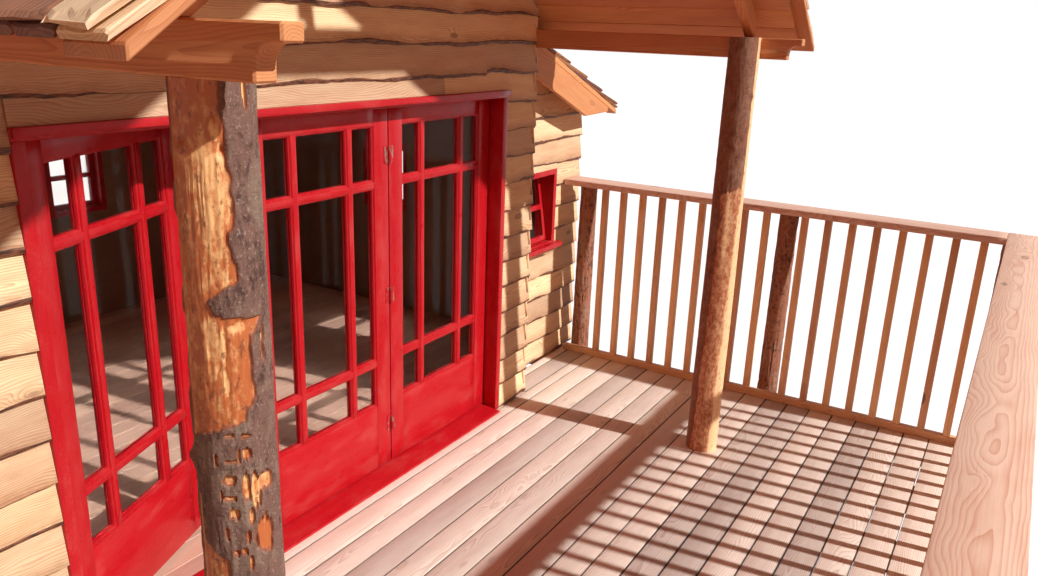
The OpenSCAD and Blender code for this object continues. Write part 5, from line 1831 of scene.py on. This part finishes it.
@dataclass
class SplitShakes:
    """Split shakes in courses, two thick everywhere, each with its own width, grooves and ragged butt."""

    show: float = 0.25
    butt: float = 0.046
    fall: float = 0.018
    thick: float = 0.013
    widths: tuple[float, float] = (0.085, 0.19)
    narrowest: float = 0.025
    gap: float = 0.002
    stagger: float = 0.05
    uneven: float = 0.011
    starter_low: float = 0.021
    shift: tuple[float, float, float] = (30.0, 0.2, 0.1)

    def lay(self, slope: Slope, rng: np.random.Generator) -> Array:
        """Lays the shakes out course over course, with a second layer under the first course.

        Args:
            slope: the slope.
            rng: draws their widths.

        Returns:
            (N, 4) course, first and last edge along the roof, and 1 for the under layer.
        """
        rows = []
        for course in range(-1, int(math.ceil(slope.length / self.show))):
            y = slope.front - (rng.uniform(0.0, self.stagger) if course % 2 else 0.0)
            while y < slope.back - 0.03:
                wide = rng.uniform(*self.widths)
                end = min(y + wide, slope.back + rng.uniform(-0.004, 0.006))
                start = max(y, slope.front + rng.uniform(-0.006, 0.004))
                rows.append((max(course, 0), start + self.gap, end - self.gap, float(course < 0)))
                y = y + wide
        table = np.array(rows)
        return table[table[:, 2] - table[:, 1] > self.narrowest]

    def cover(self, shape: Shape, verge: Shape, slope: Slope, seed: int) -> None:
        """Covers a slope.

        A shake's face is butt - fall * s / show at a distance s up from its butt, plus a groove noise that
        hardly changes along it; its underside runs from the face of the course below to the plane. u goes
        from 0 to 1 across it.

        Args:
            shape: takes the shakes.
            verge: takes the fresh ones along the two verges, whose paler finish on the main roof is partly
                painted sunlight.
            slope: the slope.
            seed: chooses widths, tones and grooves.
        """
        rng = np.random.default_rng(seed)
        table = self.lay(slope, rng)
        count = len(table)
        course, left, right, starter = (table[:, i][:, None, None] for i in range(4))
        jitter = rng.uniform(-self.uneven, self.uneven, (count, 1, 1)) * (course > 0)
        ragged = rng.uniform(-0.012, 0.010, (count, 1, 8)) * (1 - starter)
        s = np.array([0.0, 0.012, 0.11, 0.22, 0.38, 0.52])[None, :, None]
        longest = slope.length - course * self.show - jitter
        s = np.minimum(s * np.where(starter > 0, 0.45, 1.0), np.maximum(longest - 0.002, 0.02))
        u = np.array([0.0, 0.04, 0.24, 0.42, 0.6, 0.78, 0.96, 1.0])[None, None, :]
        y = left + u * (right - left) + 0.003 * lattice(
            xyz(s * 9.0, course * 3.0 + left * 31.0, u * 0.5), seed)
        groove = lattice(xyz(s * 2.0, left * 40.0 + course * 7.0, y * 55.0), seed + 1)
        lift = rng.uniform(-0.002, 0.003, (count, 1, 1)) * np.maximum(1 - s / self.show, 0)
        top = self.butt - self.fall * s / self.show - starter * self.starter_low + lift + groove * 0.0026
        top = top - 0.004 * ((u == 0.0) | (u == 1.0)) - 0.003 * (s <= 0.0)
        low = np.maximum(self.butt - self.thick - starter * 0.022 - self.fall * s / self.show * 1.25, 0.001)
        low = low + 0 * u
        top = np.maximum(top, low + 0.003)
        down = slope.length - course * self.show - jitter - s + ragged * np.exp(-s * 20.0)
        down, y, top = np.broadcast_arrays(down, y, top)
        inner = [6, 1]
        ring_down = np.concatenate([down, down[..., inner] + 0.004 * (s <= 0.0)], -1)
        ring_down = np.minimum(ring_down, slope.length + 0.012)
        ring_y = np.concatenate([y, y[..., inner]], -1)
        ring_up = np.concatenate([top, low[..., inner]], -1)
        points = slope.spot(ring_down, ring_y, ring_up)
        grain = xyz(s, ring_y - left, ring_up) + rng.uniform(-1, 1, (count, 1, 1, 3)) * self.shift
        tone = rng.uniform(0, 1, count)
        # The verge shakes go to their own shape; on the main roof their pale finish is partly painted
        # sunlight.
        fresh = (left[:, 0, 0] - slope.front < 0.02) | (slope.back - right[:, 0, 0] < 0.02)
        for taker, own in ((verge, fresh), (shape, ~fresh)):
            taker.add_bars(points[own], grain[own], tone[own])

    @staticmethod
    def boards(shape: Shape, slope: Slope, width: float, thick: float, seed: int) -> None:
        """Covers a slope's underside with boards that run level, side by side down the slope.

        Args:
            shape: takes the boards.
            slope: the slope.
            width: about how wide a board is.
            thick: its thickness.
            seed: chooses wander, tones and grain.
        """
        count = int(round(slope.length / width))
        pitch = slope.length / count
        middle = (np.arange(count) + 0.5) * pitch
        start, end = (slope.spot(middle, y, np.array(thick / 2)) for y in (slope.front, slope.back))
        way = slope.spot(1.0, 0.0, 0.0) - slope.spot(0.0, 0.0, 0.0)
        shape.add_timber(Timber(0.0028, 0.0006, 40, 2), start, end, way, pitch - 0.0015, thick, seed)


@dataclass
class Roofs:
    """Boards, battens, bargeboards and shakes of the main roof and of the two aisle roofs."""

    pitch: float = 35.0
    aisle_pitch: float = 21.8
    eave: float = 1.783
    over: float = 0.086
    boards_out: float = 1.332
    verge: float = 0.05
    back_out: float = 0.25
    board_w: float = 0.135
    board_t: float = 0.024
    ridge_gap: float = 0.002
    clear: float = 0.0003
    batten_t: float = 0.020
    aisle_eave: float = 0.06
    aisle_over: float = 0.138
    aisle_verge: float = 0.12
    barge_t: float = 0.025
    aisle_batten_t: float = 0.030

    def build(self) -> None:
        """Builds the roofs."""
        self.main()
        self.aisles()

    def main(self) -> None:
        """The steep roof over the tall bay and the porch."""
        front, back = PLAN.wall_y - self.boards_out, PLAN.back_y + self.back_out
        ridge, lower = PLAN.deck_top + PLAN.under, self.ridge_gap * PLAN.slope
        base = ridge + (self.board_t + self.batten_t) / math.cos(math.radians(self.pitch))
        low = Slope(1, self.pitch, self.ridge_gap, self.eave, ridge - lower, front, back)
        high = Slope(1, self.pitch, self.ridge_gap, self.eave + self.over, base - lower,
                     front - self.verge, back + self.verge)
        self.cover(low, high, 601, (("soffit_boards", "roof_boards"), ("main_roof_shakes", "roof_shakes")),
                   "main_verge_shakes", VERGE)
        soften("roof_battens", BEAM, 0.003, 621)

    def aisles(self) -> None:
        """The lean-to roofs beside the tall bay."""
        front, back = PLAN.aisle_y - self.aisle_verge, PLAN.back_y + self.back_out
        wall_x, eave = PLAN.bay_half + self.clear, PLAN.aisle_half + self.aisle_eave
        base = PLAN.deck_top + PLAN.aisle_at_bay + self.clear
        rise = (self.board_t + self.aisle_batten_t) / math.cos(math.radians(self.aisle_pitch))
        low = Slope(1, self.aisle_pitch, wall_x, eave, base, front, back)
        high = Slope(1, self.aisle_pitch, wall_x, eave + self.aisle_over, base + 2 * self.clear + rise,
                     front - self.barge_t, back + self.barge_t)
        self.cover(low, high, 631, (("aisle_soffit_boards", "aisle_roof_boards"),
                                    ("aisle_roof_split_shakes", "aisle_shakes")), "aisle_verge_shakes", SHADE_DARKENED_SHAKE)
        soften("aisle_battens", BEAM, 0.003, 652)
        soften("aisle_barges", BEAM, 0.003, 651)

    def cover(self, low: Slope, high: Slope, seed: int, pieces: Sequence[tuple[str, str]], verge: str,
              verge_finish: TimberFinish) -> None:
        """Boards under and shakes over both slopes of a roof.

        Args:
            low: the right slope's boards.
            high: its shakes.
            seed: chooses the boards, and ten more the shakes.
            pieces: name of the boards and of the shakes, each with the node that it stands for.
            verge: name of the shakes along the verges.
            verge_finish: their finish.
        """
        boards, shakes, verges = Shape(), Shape(), Shape()
        for side in (-1, 1):
            SplitShakes.boards(boards, replace(low, side=side), self.board_w, self.board_t - self.clear,
                               seed + side)
            SplitShakes().cover(shakes, verges, replace(high, side=side), seed + 10 + side)
        (under, under_node), (over, over_node) = pieces
        boards.build(under, BEAM, under_node)
        shakes.build(over, SHADE_DARKENED_SHAKE, over_node, smoothed=False)
        verges.build(verge, verge_finish, smoothed=False)


# Stage


@dataclass
class Studio:
    """Camera, lamps, floor and backdrop."""

    eye: tuple[float, float, float] = (-2.555, PLAN.wall_y - 2.4, 4.73)
    right: tuple[float, float, float] = (0.5216, -0.8525, 0.035)
    down: tuple[float, float, float] = (-0.2328, -0.1817, -0.9554)
    lens: float = 29.34
    sensor: float = 36.0
    clip: tuple[float, float] = (0.05, 400.0)
    sky: float = 0.20
    fill: Colour = (1.0, 0.44, 0.26)
    bounce: Colour = (0.25, 0.12, 0.07)
    key: float = 4.15
    key_spread: float = 1.2
    key_colour: Colour = (1.0, 0.99, 0.97)
    key_from: tuple[float, float, float] = (0.085, -0.80, 0.60)
    floor_lift: float = 0.36
    floor_pale: Colour = (0.76, 0.80, 0.84)
    floor_half: float = 150.0

    def build(self) -> None:
        """Builds the stage."""
        self.camera()
        self.ground()
        self.light()

    def camera(self) -> None:
        """A camera at the deck's near front corner, 0.9 m over the handrail."""
        x = Vector(self.right).normalized()
        y = -Vector(self.down)
        y = (y - x * y.dot(x)).normalized()
        z = x.cross(y)
        data = bpy.data.cameras.new("deck_corner_camera")
        data.lens = self.lens
        data.sensor_width = self.sensor
        data.clip_start, data.clip_end = self.clip
        made = bpy.data.objects.new("deck_corner_camera", data)
        basis = Matrix((x, y, z)).transposed().to_4x4()
        made.matrix_world = Matrix.Translation(self.eye) @ basis
        bpy.context.scene.collection.objects.link(made)
        bpy.context.scene.camera = made

    def ground(self) -> None:
        """A plain pale floor that runs into the backdrop: the camera sees it a little brighter than lit."""
        mesh = bpy.data.meshes.new("studio_floor")
        half = self.floor_half
        mesh.from_pydata([(-half, -half, 0), (half, -half, 0), (half, half, 0), (-half, half, 0)], [],
                         [(0, 1, 2, 3)])
        floor = bpy.data.objects.new("studio_floor", mesh)
        bpy.context.scene.collection.objects.link(floor)
        material = bpy.data.materials.new("studio_floor_pale")
        material.use_nodes = True
        g = Graph(material.node_tree)
        seen = self.seen(g)
        g.fill(material.node_tree.nodes["Principled BSDF"], Roughness=0.9,
               Base_Color=g.blend(seen, self.bounce, self.floor_pale), Emission_Color=(1.0, 1.0, 1.0),
               Emission_Strength=g.times(seen, self.floor_lift))
        mesh.materials.append(material)

    @staticmethod
    def seen(g: Graph) -> Socket:
        """What tells the camera's view from the light that falls on the model.

        Args:
            g: the graph of the shader that asks.

        Returns:
            1 for rays from the camera, and for those that glass and gloss send on, else 0.
        """
        path = g.node("ShaderNodeLightPath")
        sent = g.plus(path.outputs["Is Glossy Ray"], path.outputs["Is Transmission Ray"])
        return g.plus(path.outputs["Is Camera Ray"], sent, clamp=True)

    def light(self) -> None:
        """A key lamp from in front of the doors, and an even sky."""
        world = bpy.data.worlds.new("studio_sky")
        world.use_nodes = True
        g = Graph(world.node_tree)
        seen = self.seen(g)
        g.fill(world.node_tree.nodes["Background"], Color=g.blend(seen, self.fill, (1.0, 1.0, 1.0)),
               Strength=g.plus(self.sky, g.times(seen, 1.0 - self.sky)))
        bpy.context.scene.world = world
        data = bpy.data.lights.new("soft_key", "SUN")
        data.energy = self.key
        data.angle = math.radians(self.key_spread)
        data.color = self.key_colour
        key = bpy.data.objects.new("soft_key", data)
        key.rotation_mode = "QUATERNION"
        key.rotation_quaternion = Vector(self.key_from).normalized().to_track_quat("Z", "Y")
        bpy.context.scene.collection.objects.link(key)
        bpy.context.scene.view_settings.view_transform = "Standard"


def dress_nodes(names: Sequence[str], finish: Finish) -> None:
    """Gives CAD nodes that stay a finish in place of their plain colour.

    Args:
        names: the nodes.
        finish: the finish.
    """
    for name in names:
        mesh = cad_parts[name].data
        mesh.materials.clear()
        mesh.materials.append(finish.material())


def main() -> None:
    """Builds every sub-assembly in order."""
    logging.basicConfig(level=logging.INFO, format="%(message)s")
    Studio().build()
    Platform().build()
    Railing().build()
    WaneyWalls().build()
    DoorSet().build()
    SmallWindows().build()
    Porch().build()
    Roofs().build()
    dress_nodes(["bay_walls", "front_gable", "aisle_fronts", "side_walls", "back_wall", "upper_side_walls"],
                SHADE_DARKENED_LINING)


if __name__ == "__main__":
    main()
